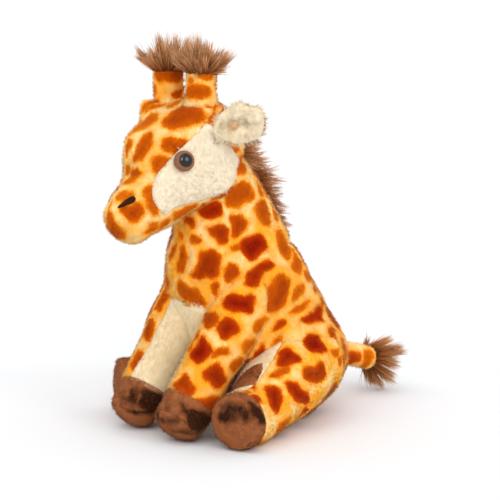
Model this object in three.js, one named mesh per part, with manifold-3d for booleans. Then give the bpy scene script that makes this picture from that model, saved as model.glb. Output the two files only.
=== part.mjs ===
// A sitting plush giraffe: sewn fabric skins over stuffing, plastic eyes, yarn mane and tufts.
// Millimetres, +Z up. It faces -Y and its left side is +X. The origin is the centre of its flat seat.
import * as THREE from 'three';
import { mergeVertices } from 'three/addons/utils/BufferGeometryUtils.js';
import Module from 'manifold-3d';

const wasm = await Module();
wasm.setup();

// Cloth and fit
const gap = 0.3; // clearance between any two neighbours
const cloth = 2; // thickness of plush fabric, backing and pile
const flat = 0.5; // how deep the soft bottom is pressed flat on the table
const overrun = 30; // how far a cutting tool runs past what it cuts
const sweepStep = 8; // degrees at most between two places of a neighbour that a moving piece clears

// Body and neck, one swelling form from the seat up to the head
const body = {
  height: 170, halfWidth: 47, halfDepth: 49, domes: [6.5, 8], tiltShare: 0.4,
  sides: 16, innerSides: 10, rings: 12,
};
const bodyBackShares = [0.004, 0.008, 0, -0.076, -0.163, -0.222, -0.232, -0.252, -0.287, -0.33];
const bodyUpShares = [0.035, 0.1, 0.21, 0.345, 0.482, 0.606, 0.688, 0.782, 0.882, 0.965];
const bodyWidthShares = [0.6, 0.83, 1, 0.93, 0.81, 0.68, 0.59, 0.53, 0.49, 0.47];
const bodyDepthShares = [0.61, 0.84, 1, 0.94, 0.85, 0.745, 0.66, 0.59, 0.54, 0.5];
const pelletShare = 0.13; // height of the pellet pouch's top, in shares of the body's
const neckBend = { upShare: 0.74, backShare: -0.24, knuckle: 42, range: [-10, 12], step: 3, legStep: 1 };

// Panels let into the belly and the seat, seen from the front
const belly = { topHalf: 15, midHalf: 27, lowHalf: 24, top: 79, mid: 54, low: 32, rear: -8 };
const seatPanel = { half: 24, rear: 26 };

// Head, a form along its own line from the nape to the muzzle
const head = {
  length: 100, height: 150.5, halfWidth: 29, halfDepth: 30, domes: [20, 11],
  sides: 16, innerSides: 12, rings: 9,
};
const headForwardShares = [0.5, 0.6, 0.72, 0.82, 0.92, 1.03, 1.09];
const headUpShares = [0.23, 0.19, 0.12, 0.02, -0.08, -0.17, -0.225];
const headWidthShares = [0.88, 0.97, 1, 0.93, 0.78, 0.63, 0.55];
const headDepthShares = [0.86, 0.96, 1, 0.93, 0.77, 0.6, 0.52];
const headTurn = { point: 1, range: [-12, 12], maneStep: 4 }; // turns about the second point of its line
// The hole in the head's skin over the neck, and where on the body's line it aims
const throat = { hole: 13, alongShare: 0.8, step: 12 };

// Cheek patches, outlines seen from the side in shares of the head's length
const cheekForwardShares = [0.69, 0.85, 0.98, 1.03, 1.04, 0.945, 0.79, 0.54, 0.48, 0.54];
const cheekUpShares = [0.35, 0.255, 0.14, 0.06, -0.046, -0.18, -0.115, -0.045, 0.054, 0.2];
const cheekInner = 12; // half the width between the two patches' inner limits

// Eyes: a domed button, its shank and the washer that locks it inside
const eye = {
  radius: 6, dome: 3.4, lift: 0.6, brim: 1.2, shank: 2, stem: 9, alongShare: 0.44, turn: 24, sides: 12,
};
const washer = { radius: 7, thick: 1.6, seatGap: 0.6 };

// Nostrils, sewn slits on the muzzle
const nostril = { length: 11, width: 3.4, thick: 1, alongShare: 0.89, turn: 62, slant: 35 };

// Horns and their yarn tufts; a horn's foot is measured up from the head's height
const horn = {
  radius: 9.7, length: 31, apart: 31, back: -66.5, foot: 30.5, domes: [3, 3],
  sides: 10, innerSides: 10, rings: 2, lean: [-7, 7],
};
const hornTuft = { height: 22, root: 7, spread: 14.5, sides: 10 };
const tuftReachShares = [0, 1, 0.8, 1, 0.6, 0]; // the second is a share of the root, the rest of the spread
const tuftRiseShares = [0, 0, 0.5, 0.85, 1, 1];

// Ears: a spotted back and a cream lining, folded into a cup, set up from the head's height
const ear = {
  length: 27, half: 14, thick: 4.5, cup: 2.6, apart: 50, back: -60, up: 29.5, domes: [5, 5], rings: 3, sides: 10,
};
const earSweep = { back: 38, rise: 12, flap: [-15, 15] }; // degrees
const earHalfShares = [0.62, 0.92, 1, 0.74];
const earCupShares = { across: 0.66, along: 0.34, middle: 0.6 };

// Mane, a standing strip of yarn down the nape
const mane = { half: 4.5, stand: 12, sides: 6 };
const maneNeckShares = [0.63, 0.73, 0.83, 0.93]; // places along the body's line
const maneHeadTurns = [-25, 0, 25, 50]; // degrees round the nape

// Front legs
const frontLeg = {
  tall: 100, radius: 17, domes: [4, 9], sides: 12, innerSides: 6, rings: 7, swing: [0, 20],
};
const frontSideShares = [0.25, 0.25, 0.24, 0.23, 0.22, 0.215];
const frontBackShares = [-0.36, -0.44, -0.545, -0.68, -0.8, -0.9];
const frontUpShares = [0.9, 0.75, 0.58, 0.38, 0.2, 0.085];
const frontRadiusShares = [1.05, 1.1, 1.06, 0.98, 1, 0.9];
const frontPivot = { apart: 50, back: -52, up: 79 };
const frontHoofShare = 0.81; // where leg fabric meets hoof fabric along the leg

// Hind legs
const hindLeg = {
  tall: 100, radius: 18, domes: [12, 4], sides: 14, innerSides: 7, rings: 7, splay: [0, 15],
};
const hindSideShares = [0.24, 0.32, 0.42, 0.515, 0.575, 0.6];
const hindBackShares = [0.04, -0.16, -0.38, -0.58, -0.7, -0.78];
const hindUpShares = [0.35, 0.31, 0.24, 0.182, 0.172, 0.17];
const hindRadiusShares = [1.66, 1.56, 1.28, 1.04, 0.97, 0.95];
const hindPivot = { apart: 84, back: 4 };
const hindHoofShare = 0.84;
const hindSetback = { left: 0, right: 5 }; // the right hind leg sits a little further back
const liningShare = 0.4; // how far the inner lining's seam lies inward of the leg's middle, in radii

// Tail and its tuft
const tail = {
  radius: 8.2, root: 36, end: 82, up: 31, drop: 8, domes: [4, 4],
  sides: 10, innerSides: 10, rings: 3, swing: [-22, 22],
};
const tailTuft = { height: 25, root: 6, spread: 13, sides: 10 };

const colours = {
  yellow: 0xfdbb5c, cream: 0xf0e2c6, hoof: 0x8a5636, sole: 0x9c6444, yarn: 0x8a5e44,
  dark: 0x2a1610, eye: 0x3a2a20, plastic: 0xe8e6e0, stuffing: 0xf6f4ee, pellets: 0xdcdcd8,
};

const axisX = new THREE.Vector3(1, 0, 0);
const axisY = new THREE.Vector3(0, 1, 0);
const axisZ = new THREE.Vector3(0, 0, 1);
const meshes = new THREE.Group();

function addMesh(name, geometry, colour, roughness = 0.95) {
  const material = new THREE.MeshStandardMaterial({ color: colour, roughness, metalness: 0 });
  const mesh = new THREE.Mesh(geometry, material);
  mesh.name = name;
  meshes.add(mesh);
}

function solidOf(geometry) {
  const bare = geometry.clone();
  bare.deleteAttribute('normal');
  bare.deleteAttribute('uv');
  const merged = mergeVertices(bare);
  const vertProperties = new Float32Array(merged.attributes.position.array);
  const triVerts = new Uint32Array(merged.index.array);
  return new wasm.Manifold(new wasm.Mesh({ numProp: 3, vertProperties, triVerts }));
}

function geometryOf(solid) {
  const { vertProperties, triVerts } = solid.getMesh();
  const geometry = new THREE.BufferGeometry();
  geometry.setAttribute('position', new THREE.BufferAttribute(new Float32Array(vertProperties), 3));
  geometry.setIndex(new THREE.BufferAttribute(new Uint32Array(triVerts), 1));
  return geometry;
}

function addSolid(name, solid, colour, roughness) {
  addMesh(name, geometryOf(solid), colour, roughness);
}

// A stuffed form has a centre line, half sizes at the line's key points and a dome at each end
function makeForm(line, halves, look) {
  const centre = new THREE.CatmullRomCurve3(line, false, 'catmullrom', 0.5);
  const size = new THREE.CatmullRomCurve3(halves, false, 'catmullrom', 0.5);
  const across = look.across ?? new THREE.Vector3(1, 0, 0);
  const section = (t) => {
    const at = centre.getPoint(t);
    const along = axisZ.clone().lerp(centre.getTangent(t), look.tiltShare ?? 1).normalize();
    const side = across.clone().addScaledVector(along, -across.dot(along)).normalize();
    const deep = along.clone().cross(side);
    const half = size.getPoint(t);
    return { at, along, side, deep, half };
  };
  return { section, ...look };
}

function ringPoint(frame, width, depth, shift, turn) {
  return frame.at.clone()
    .addScaledVector(frame.along, shift)
    .addScaledVector(frame.side, width * Math.cos(turn))
    .addScaledVector(frame.deep, depth * Math.sin(turn));
}

// The form's surface, grown outward by a distance, or shrunk where that is negative
function formGeometry(form, grow = 0, sides = form.sides) {
  const rows = [];
  const domeSteps = 3;
  const addRow = (frame, scale, shift) => {
    const width = (frame.half.x + grow) * scale;
    const depth = (frame.half.y + grow) * scale;
    rows.push(Array.from({ length: sides }, (_, i) => (
      ringPoint(frame, width, depth, shift, (i / sides) * 2 * Math.PI))));
  };
  const first = form.section(0);
  const last = form.section(1);
  const startDome = form.domes[0] + grow;
  const endDome = form.domes[1] + grow;
  for (let i = 1; i < domeSteps; i += 1) {
    const lift = (i / domeSteps) * Math.PI / 2;
    addRow(first, Math.sin(lift), -startDome * Math.cos(lift));
  }
  for (let i = 0; i <= form.rings; i += 1) addRow(form.section(i / form.rings), 1, 0);
  for (let i = domeSteps - 1; i > 0; i -= 1) {
    const lift = (i / domeSteps) * Math.PI / 2;
    addRow(last, Math.sin(lift), endDome * Math.cos(lift));
  }
  const points = rows.flat();
  const startPole = points.push(first.at.clone().addScaledVector(first.along, -startDome)) - 1;
  const endPole = points.push(last.at.clone().addScaledVector(last.along, endDome)) - 1;
  const index = [];
  rows.slice(1).forEach((row, above) => {
    row.forEach((_, i) => {
      const next = (i + 1) % sides;
      const a = above * sides;
      const b = a + sides;
      index.push(a + i, a + next, b + i, a + next, b + next, b + i);
    });
  });
  for (let i = 0; i < sides; i += 1) {
    const next = (i + 1) % sides;
    const top = (rows.length - 1) * sides;
    index.push(startPole, next, i, endPole, top + i, top + next);
  }
  const geometry = new THREE.BufferGeometry().setFromPoints(points);
  geometry.setIndex(index);
  return geometry;
}

const formSolid = (form, grow, sides) => solidOf(formGeometry(form, grow, sides));

// The skin is hollow; the stuffing is the form inside it
const skinOf = (form) => formSolid(form).subtract(formSolid(form, -cloth, form.innerSides));
const fillingOf = (form) => formSolid(form, -cloth - gap, form.innerSides);

// The form lowered or raised until the table presses its underside flat
function restingForm(line, halves, look) {
  const lifted = (lift) => (
    makeForm(line.map((point) => point.clone().addScaledVector(axisZ, lift)), halves, look));
  const geometry = formGeometry(lifted(0));
  geometry.computeBoundingBox();
  return lifted(-flat - geometry.boundingBox.min.z);
}

// A point on the form's surface and the way it faces
function surfaceAt(form, along, turnDegrees) {
  const turn = THREE.MathUtils.degToRad(turnDegrees);
  const frame = form.section(along);
  const at = ringPoint(frame, frame.half.x, frame.half.y, 0, turn);
  const out = frame.side.clone().multiplyScalar(Math.cos(turn) / frame.half.x)
    .addScaledVector(frame.deep, Math.sin(turn) / frame.half.y).normalize();
  return { at, out, along: frame.along };
}

function boxSolid(low, high) {
  const size = high.clone().sub(low);
  const middle = low.clone().add(high).multiplyScalar(0.5);
  return solidOf(new THREE.BoxGeometry(size.x, size.y, size.z).translate(middle.x, middle.y, middle.z));
}

// Everything on the far side of a plane, as a large block
function halfSpace(at, out, reach) {
  const block = new THREE.BoxGeometry(2 * reach, 2 * reach, 2 * reach).translate(0, 0, reach);
  block.applyQuaternion(new THREE.Quaternion().setFromUnitVectors(axisZ, out.clone().normalize()));
  return solidOf(block.translate(at.x, at.y, at.z));
}

// All the room that a solid takes as it turns through a hinge's range
function sweptSolid(solid, hinge, way = 1) {
  const steps = Math.ceil((hinge.range[1] - hinge.range[0]) / (hinge.step ?? sweepStep));
  const geometry = geometryOf(solid);
  let swept;
  for (let i = 0; i <= steps; i += 1) {
    const degrees = THREE.MathUtils.lerp(hinge.range[0], hinge.range[1], i / steps);
    const turn = new THREE.Quaternion().setFromAxisAngle(hinge.axis, way * THREE.MathUtils.degToRad(degrees));
    const turned = solidOf(geometry.clone()
      .translate(-hinge.at.x, -hinge.at.y, -hinge.at.z)
      .applyQuaternion(turn)
      .translate(hinge.at.x, hinge.at.y, hinge.at.z));
    swept = swept ? swept.add(turned) : turned;
  }
  return swept;
}

// What a limb loses to its larger neighbour's grown solid, wherever the limb turns
function cutByNeighbour(pieces, neighbour, hinge) {
  const room = sweptSolid(neighbour, hinge, -1);
  return pieces.map((piece) => piece.subtract(room));
}

// Body and neck
const bodyLine = bodyUpShares.map((up, i) => (
  new THREE.Vector3(0, bodyBackShares[i] * body.height, up * body.height)));
const bodyHalves = bodyWidthShares.map((width, i) => (
  new THREE.Vector3(width * body.halfWidth, bodyDepthShares[i] * body.halfDepth, 0)));
const bodyForm = restingForm(bodyLine, bodyHalves, body);

// Head
const headLine = headForwardShares.map((forward, i) => (
  new THREE.Vector3(0, -forward * head.length, head.height + headUpShares[i] * head.length)));
const headHalves = headWidthShares.map((width, i) => (
  new THREE.Vector3(width * head.halfWidth, headDepthShares[i] * head.halfDepth, 0)));
const headForm = makeForm(headLine, headHalves, head);

const headPivot = headLine[headTurn.point].clone();
const headHinge = { at: headPivot, axis: axisZ, range: headTurn.range };
const maneHinge = { ...headHinge, step: headTurn.maneStep };
const neckPivot = new THREE.Vector3(0, neckBend.backShare * body.height, neckBend.upShare * body.height);
const neckHinge = { at: neckPivot, axis: axisX, range: neckBend.range, step: neckBend.step };
const table = boxSolid(
  new THREE.Vector3(-body.height, -body.height, -overrun),
  new THREE.Vector3(body.height, body.height, 0));

// The neck's side of the knuckle that it bends on, a drum across the neck and all above its middle
function knuckleSolid(grow) {
  const radius = neckBend.knuckle + grow;
  const drum = new THREE.CylinderGeometry(radius, radius, 2 * body.height, 2 * body.sides);
  drum.rotateZ(Math.PI / 2).translate(neckPivot.x, neckPivot.y, neckPivot.z);
  return solidOf(drum).add(halfSpace(neckPivot, axisZ, body.height));
}

// An outline moved outward by a distance, corner by corner
function growOutline(outline, distance) {
  const area = THREE.ShapeUtils.area(outline);
  return outline.map((point, i) => {
    const before = outline[(i + outline.length - 1) % outline.length];
    const after = outline[(i + 1) % outline.length];
    const inward = point.clone().sub(before).normalize();
    const onward = after.clone().sub(point).normalize();
    const normal = new THREE.Vector2(inward.y + onward.y, -inward.x - onward.x).normalize();
    const spread = normal.dot(new THREE.Vector2(onward.y, -onward.x));
    return point.clone().addScaledVector(normal, (Math.sign(area) * distance) / spread);
  });
}

// A prism of an outline, drawn across and up, that runs between two places along the third axis
function prismSolid(outline, grow, axes, from, to) {
  const shape = new THREE.Shape(growOutline(outline, grow));
  const prism = new THREE.ExtrudeGeometry(shape, { depth: to - from, bevelEnabled: false });
  prism.translate(0, 0, from).applyMatrix4(new THREE.Matrix4().makeBasis(...axes));
  return solidOf(prism);
}

const frontAxes = [axisX, axisZ, axisY.clone().negate()];
const sideAxes = [axisY, axisZ, axisX];

function placed(geometry, at, out) {
  const turn = new THREE.Quaternion().setFromUnitVectors(axisY, out);
  return solidOf(geometry.applyQuaternion(turn).translate(at.x, at.y, at.z));
}

// A pin or a disc that stands on a surface, from one height to another along the way it faces
function pinSolid(radius, low, high, at, out, sides) {
  const pin = new THREE.CylinderGeometry(radius, radius, high - low, sides).translate(0, (low + high) / 2, 0);
  return placed(pin, at, out);
}

function makeBody() {
  const skin = skinOf(bodyForm).subtract(knuckleSolid(gap)).subtract(table);
  const filling = fillingOf(bodyForm).subtract(knuckleSolid(gap));
  const front = 2 * body.halfDepth;
  const bellyOutline = [
    [-belly.lowHalf, belly.low], [belly.lowHalf, belly.low], [belly.midHalf, belly.mid],
    [belly.topHalf, belly.top], [-belly.topHalf, belly.top], [-belly.midHalf, belly.mid],
  ].map(([side, up]) => new THREE.Vector2(side, up));
  const seatTop = belly.low - gap;
  const seatOutline = [
    [-seatPanel.half, -overrun], [seatPanel.half, -overrun],
    [seatPanel.half, seatTop], [-seatPanel.half, seatTop],
  ].map(([side, up]) => new THREE.Vector2(side, up));
  const bellyTool = prismSolid(bellyOutline, 0, frontAxes, -belly.rear, front);
  const seatTool = prismSolid(seatOutline, 0, frontAxes, -seatPanel.rear, front);
  const bellyHole = prismSolid(bellyOutline, gap, frontAxes, -belly.rear - gap, front);
  const seatHole = prismSolid(seatOutline, gap, frontAxes, -seatPanel.rear - gap, front);
  addSolid('body_skin', skin.subtract(bellyHole).subtract(seatHole), colours.yellow);
  addSolid('belly_panel', skin.intersect(bellyTool), colours.cream);
  addSolid('seat_panel', skin.intersect(seatTool), colours.hoof);
  const pelletTop = new THREE.Vector3(0, 0, pelletShare * body.height);
  const pouchRoom = halfSpace(pelletTop, axisZ, body.height);
  const fillingRoom = halfSpace(pelletTop.clone().addScaledVector(axisZ, gap), axisZ, body.height);
  addSolid('pellet_pouch', filling.subtract(pouchRoom), colours.pellets);
  addSolid('body_filling', filling.intersect(fillingRoom), colours.stuffing);
}

// A standing strip along a form; its foot is cut away where it sits on the fabric
function maneOn(line, form, grow) {
  const halves = line.map(() => new THREE.Vector3(mane.half, mane.stand, 0));
  const look = { domes: [mane.half, mane.half], sides: mane.sides, rings: line.length };
  return formSolid(makeForm(line, halves, look), grow).subtract(formSolid(form, gap - grow));
}

const napeLine = maneHeadTurns.map((degrees) => {
  const nape = headForm.section(0);
  const turn = THREE.MathUtils.degToRad(degrees);
  return nape.at.clone()
    .addScaledVector(nape.along, -head.domes[0] * Math.cos(turn))
    .addScaledVector(nape.deep, -nape.half.y * Math.sin(turn));
});

function makeNeck() {
  const knuckle = knuckleSolid(0);
  const neckLine = maneNeckShares.map((along) => {
    const frame = bodyForm.section(along);
    return frame.at.clone().addScaledVector(frame.deep, frame.half.y);
  });
  const shoulders = formSolid(bodyForm, gap).subtract(knuckle);
  const [mane] = cutByNeighbour([maneOn(neckLine, bodyForm, 0)], shoulders, neckHinge);
  const [skin, strip] = cutByNeighbour(
    [skinOf(bodyForm).intersect(knuckle), mane], formSolid(headForm, gap), headHinge);
  const coarseSides = head.sides / 2;
  const coarseDip = head.halfDepth * (1 - Math.cos(Math.PI / coarseSides));
  const headRoom = formSolid(headForm, coarseDip + cloth, coarseSides);
  const stuffed = fillingOf(bodyForm).intersect(knuckle);
  const [filling] = cutByNeighbour([stuffed], headRoom, { ...headHinge, step: throat.step });
  const [cutStrip] = cutByNeighbour([strip], maneOn(napeLine, headForm, gap), maneHinge);
  addSolid('neck_skin', skin, colours.yellow);
  addSolid('neck_filling', filling, colours.stuffing);
  addSolid('mane_neck', cutStrip, colours.yarn);
}

function eyeGeometry() {
  const profile = [
    new THREE.Vector2(0, -eye.stem), new THREE.Vector2(eye.shank, -eye.stem),
    new THREE.Vector2(eye.shank, eye.lift), new THREE.Vector2(eye.radius, eye.lift),
    new THREE.Vector2(eye.radius, eye.brim),
  ];
  const domeSteps = 4;
  for (let i = 1; i <= domeSteps; i += 1) {
    const lift = (i / domeSteps) * Math.PI / 2;
    profile.push(new THREE.Vector2(eye.radius * Math.cos(lift), eye.brim + eye.dome * Math.sin(lift)));
  }
  return new THREE.LatheGeometry(profile, eye.sides);
}

function makeHead() {
  const downNeck = bodyForm.section(throat.alongShare).at.sub(headPivot).normalize();
  const hole = pinSolid(throat.hole, 0, head.length, headPivot, downNeck, eye.sides);
  const cheekCurve = new THREE.CatmullRomCurve3(cheekForwardShares.map((forward, i) => (
    new THREE.Vector3(-forward * head.length, head.height + cheekUpShares[i] * head.length, 0))), true);
  const cheekOutline = cheekCurve.getPoints(2 * cheekForwardShares.length).slice(1)
    .map((point) => new THREE.Vector2(point.x, point.y));
  const facetDip = head.halfWidth * (1 - Math.cos(Math.PI / head.innerSides));
  const washerDepth = cloth + washer.seatGap + washer.radius ** 2 / (2 * (head.halfWidth - cloth)) + facetDip;
  let skin = skinOf(headForm).subtract(hole);
  let filling = fillingOf(headForm);
  [['left', 1], ['right', -1]].forEach(([hand, side]) => {
    const turn = side > 0 ? eye.turn : 180 - eye.turn;
    const seat = surfaceAt(headForm, eye.alongShare, turn);
    const shankHole = pinSolid(eye.shank + gap, -eye.stem - gap, eye.brim, seat.at, seat.out, eye.sides);
    const low = -washerDepth - washer.thick;
    const disc = pinSolid(washer.radius, low, -washerDepth, seat.at, seat.out, eye.sides);
    const discRoom = pinSolid(washer.radius + gap, low - gap, 0, seat.at, seat.out, eye.sides);
    const range = side > 0 ? [cheekInner, head.length] : [-head.length, -cheekInner];
    const wide = side > 0 ? [cheekInner - gap, head.length] : [-head.length, gap - cheekInner];
    const patch = skin.intersect(prismSolid(cheekOutline, 0, sideAxes, ...range)).subtract(shankHole);
    skin = skin.subtract(prismSolid(cheekOutline, gap, sideAxes, ...wide)).subtract(shankHole);
    filling = filling.subtract(discRoom).subtract(shankHole);
    addSolid(`cheek_patch_${hand}`, patch, colours.cream);
    addSolid(`eye_${hand}`, placed(eyeGeometry(), seat.at, seat.out), colours.eye, 0.1);
    addSolid(`eye_washer_${hand}`, disc.subtract(shankHole), colours.plastic, 0.5);
    makeNostril(hand, side);
  });
  addSolid('head_skin', skin, colours.yellow);
  addSolid('head_filling', filling, colours.stuffing);
  const [mane] = cutByNeighbour(
    [maneOn(napeLine, headForm, 0)], formSolid(bodyForm, gap), maneHinge);
  addSolid('mane_head', mane, colours.yarn);
}

// A slit of dark fabric that lies on the muzzle
function makeNostril(hand, side) {
  const turn = side > 0 ? nostril.turn : 180 - nostril.turn;
  const seat = surfaceAt(headForm, nostril.alongShare, turn);
  const slit = new THREE.SphereGeometry(1, 16, 8);
  slit.scale(nostril.width / 2, nostril.thick + cloth, nostril.length / 2).rotateY(THREE.MathUtils.degToRad(side * nostril.slant));
  const lens = placed(slit, seat.at, seat.out);
  const layer = formSolid(headForm, gap + nostril.thick).subtract(formSolid(headForm, gap));
  addSolid(`nostril_${hand}`, lens.intersect(layer), colours.dark);
}

// A tuft flares from its root to its widest and closes over the top
function tuftSolid(tuft, at, out) {
  const profile = tuftReachShares.map((reach, i) => (
    new THREE.Vector2(reach * (i === 1 ? tuft.root : tuft.spread), tuftRiseShares[i] * tuft.height)));
  return placed(new THREE.LatheGeometry(profile, tuft.sides), at, out);
}

function hornOn(side) {
  const foot = new THREE.Vector3(side * horn.apart / 2, horn.back, head.height + horn.foot);
  const tip = foot.clone().addScaledVector(axisZ, horn.length);
  const line = [foot, foot.clone().lerp(tip, 0.5), tip];
  const halves = line.map(() => new THREE.Vector3(horn.radius, horn.radius, 0));
  const form = makeForm(line, halves, horn);
  const hinge = { at: foot.clone().addScaledVector(axisZ, horn.radius), axis: axisX, range: horn.lean };
  return { tip, form, hinge };
}

function makeHorn(hand, side) {
  const { tip, form, hinge } = hornOn(side);
  const [skin, filling] = cutByNeighbour([skinOf(form), fillingOf(form)], formSolid(headForm, gap), hinge);
  addSolid(`horn_${hand}`, skin, colours.yellow);
  addSolid(`horn_filling_${hand}`, filling, colours.stuffing);
  addSolid(`horn_tuft_${hand}`, tuftSolid(hornTuft, tip, axisZ).subtract(formSolid(form, gap)), colours.yarn);
}

function makeEar(hand, side) {
  const sweep = THREE.MathUtils.degToRad(earSweep.back);
  const rise = THREE.MathUtils.degToRad(earSweep.rise);
  const level = Math.cos(rise);
  const along = new THREE.Vector3(side * Math.cos(sweep) * level, Math.sin(sweep) * level, Math.sin(rise));
  const facing = new THREE.Vector3(side * Math.sin(sweep), -Math.cos(sweep), 0);
  const across = facing.clone().cross(along);
  const root = new THREE.Vector3(side * ear.apart / 2, ear.back, head.height + ear.up);
  const steps = earHalfShares.length - 1;
  const reach = ear.length - ear.domes[1];
  const line = earHalfShares.map((_, i) => root.clone().addScaledVector(along, (i / steps) * reach));
  const halves = earHalfShares.map((share) => new THREE.Vector3(share * ear.half, ear.thick, 0));
  const form = makeForm(line, halves, { ...ear, across });
  const cup = new THREE.SphereGeometry(1, ear.sides, ear.sides / 2)
    .scale(earCupShares.along * ear.length, earCupShares.across * ear.half, ear.cup)
    .applyMatrix4(new THREE.Matrix4().makeBasis(along, across, facing));
  const middle = root.clone().addScaledVector(along, earCupShares.middle * ear.length)
    .addScaledVector(facing, ear.thick);
  const hinge = { at: root, axis: axisZ.clone().multiplyScalar(side), range: earSweep.flap };
  const nextHorn = hornOn(side);
  const hornRoom = sweptSolid(formSolid(nextHorn.form, gap), nextHorn.hinge);
  const [solid] = cutByNeighbour([formSolid(form)], formSolid(headForm, gap).add(hornRoom), hinge);
  const front = solid.intersect(halfSpace(root, facing, ear.length * 2));
  const seam = root.clone().addScaledVector(facing, -gap);
  const hollow = solidOf(cup.translate(middle.x, middle.y, middle.z));
  addSolid(`ear_lining_${hand}`, front.subtract(hollow), colours.cream);
  addSolid(`ear_back_${hand}`, solid.subtract(halfSpace(seam, facing, ear.length * 2)), colours.yellow);
}

// A leg's form; its line is given in shares of its height, for the left side
function legForm(leg, shares, side, setback) {
  const [sides, backs, ups, radii] = shares;
  const line = sides.map((share, i) => (
    new THREE.Vector3(side * share * leg.tall, backs[i] * leg.tall + setback, ups[i] * leg.tall)));
  const halves = radii.map((share) => new THREE.Vector3(share * leg.radius, share * leg.radius, 0));
  return restingForm(line, halves, leg);
}

// One leg: its outer fabric, cream inner lining, hoof, sole and stuffing
function makeLeg(name, form, leg, hoofShare, hinge, side, others) {
  const reach = 2 * leg.tall;
  let [skin, filling] = cutByNeighbour([skinOf(form), fillingOf(form)], formSolid(bodyForm, gap), hinge);
  [skin, filling] = [skin.subtract(table), filling.subtract(table)];
  others.forEach((other) => {
    [skin, filling] = [skin.subtract(other), filling.subtract(other)];
  });
  const cuff = form.section(hoofShare);
  const end = form.section(1);
  const beyondCuff = halfSpace(cuff.at, cuff.along, reach);
  const beyondSeam = halfSpace(cuff.at.clone().addScaledVector(cuff.along, gap), cuff.along, reach);
  const beyondEnd = halfSpace(end.at, end.along, reach);
  const beyondSole = halfSpace(end.at.clone().addScaledVector(end.along, gap), end.along, reach);
  const inward = end.at.clone().sub(form.section(0).at).cross(axisZ).multiplyScalar(-1);
  inward.z = 0;
  inward.normalize();
  if (inward.x * side > 0) inward.negate();
  const middle = form.section(0.5).at.clone().addScaledVector(inward, liningShare * leg.radius);
  const inner = halfSpace(middle, inward, reach);
  const innerHole = halfSpace(middle.clone().addScaledVector(inward, -gap), inward, reach);
  const sleeve = skin.subtract(beyondCuff);
  addSolid(`${name}_skin`, sleeve.subtract(innerHole), colours.yellow);
  addSolid(`${name}_lining`, sleeve.intersect(inner), colours.cream);
  addSolid(`${name}_hoof`, skin.intersect(beyondSeam).subtract(beyondEnd), colours.hoof);
  addSolid(`${name}_sole`, skin.intersect(beyondSole), colours.sole);
  addSolid(`${name}_filling`, filling, colours.stuffing);
}

function makeLegs(hand, side) {
  const frontShares = [frontSideShares, frontBackShares, frontUpShares, frontRadiusShares];
  const hindShares = [hindSideShares, hindBackShares, hindUpShares, hindRadiusShares];
  const front = legForm(frontLeg, frontShares, side, 0);
  const hind = legForm(hindLeg, hindShares, side, hindSetback[hand]);
  const frontHinge = {
    at: new THREE.Vector3(side * frontPivot.apart / 2, frontPivot.back, frontPivot.up),
    axis: axisX.clone().negate(),
    range: frontLeg.swing,
  };
  const hindHinge = {
    at: new THREE.Vector3(
      side * hindPivot.apart / 2, hindPivot.back + hindSetback[hand], hindUpShares[0] * hindLeg.tall),
    axis: axisZ.clone().multiplyScalar(side),
    range: hindLeg.splay,
  };
  makeLeg(`hind_leg_${hand}`, hind, hindLeg, hindHoofShare, hindHinge, side, []);
  const neckRoom = sweptSolid(
    formSolid(bodyForm, gap).intersect(knuckleSolid(gap)), { ...neckHinge, step: neckBend.legStep });
  const others = [formSolid(hind, gap), neckRoom];
  makeLeg(`front_leg_${hand}`, front, frontLeg, frontHoofShare, frontHinge, side, others);
}

function makeTail() {
  const line = [0, 0.5, 1].map((share) => new THREE.Vector3(
    0, THREE.MathUtils.lerp(tail.root, tail.end, share), tail.up - share * share * tail.drop));
  const halves = line.map(() => new THREE.Vector3(tail.radius, tail.radius, 0));
  const form = makeForm(line, halves, tail);
  const root = new THREE.Vector3(0, body.halfDepth - tail.radius, tail.up);
  const hinge = { at: root, axis: axisZ, range: tail.swing };
  const [skin, filling] = cutByNeighbour([skinOf(form), fillingOf(form)], formSolid(bodyForm, gap), hinge);
  const end = form.section(1);
  addSolid('tail_skin', skin, colours.yellow);
  addSolid('tail_filling', filling, colours.stuffing);
  addSolid('tail_tuft', tuftSolid(tailTuft, end.at, end.along).subtract(formSolid(form, gap)), colours.yarn);
}

makeBody();
makeNeck();
makeHead();
[['left', 1], ['right', -1]].forEach(([hand, side]) => {
  makeHorn(hand, side);
  makeEar(hand, side);
  makeLegs(hand, side);
});
makeTail();

export default meshes;
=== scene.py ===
import bpy
import numpy as np
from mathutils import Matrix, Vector
from mathutils.bvhtree import BVHTree


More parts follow.
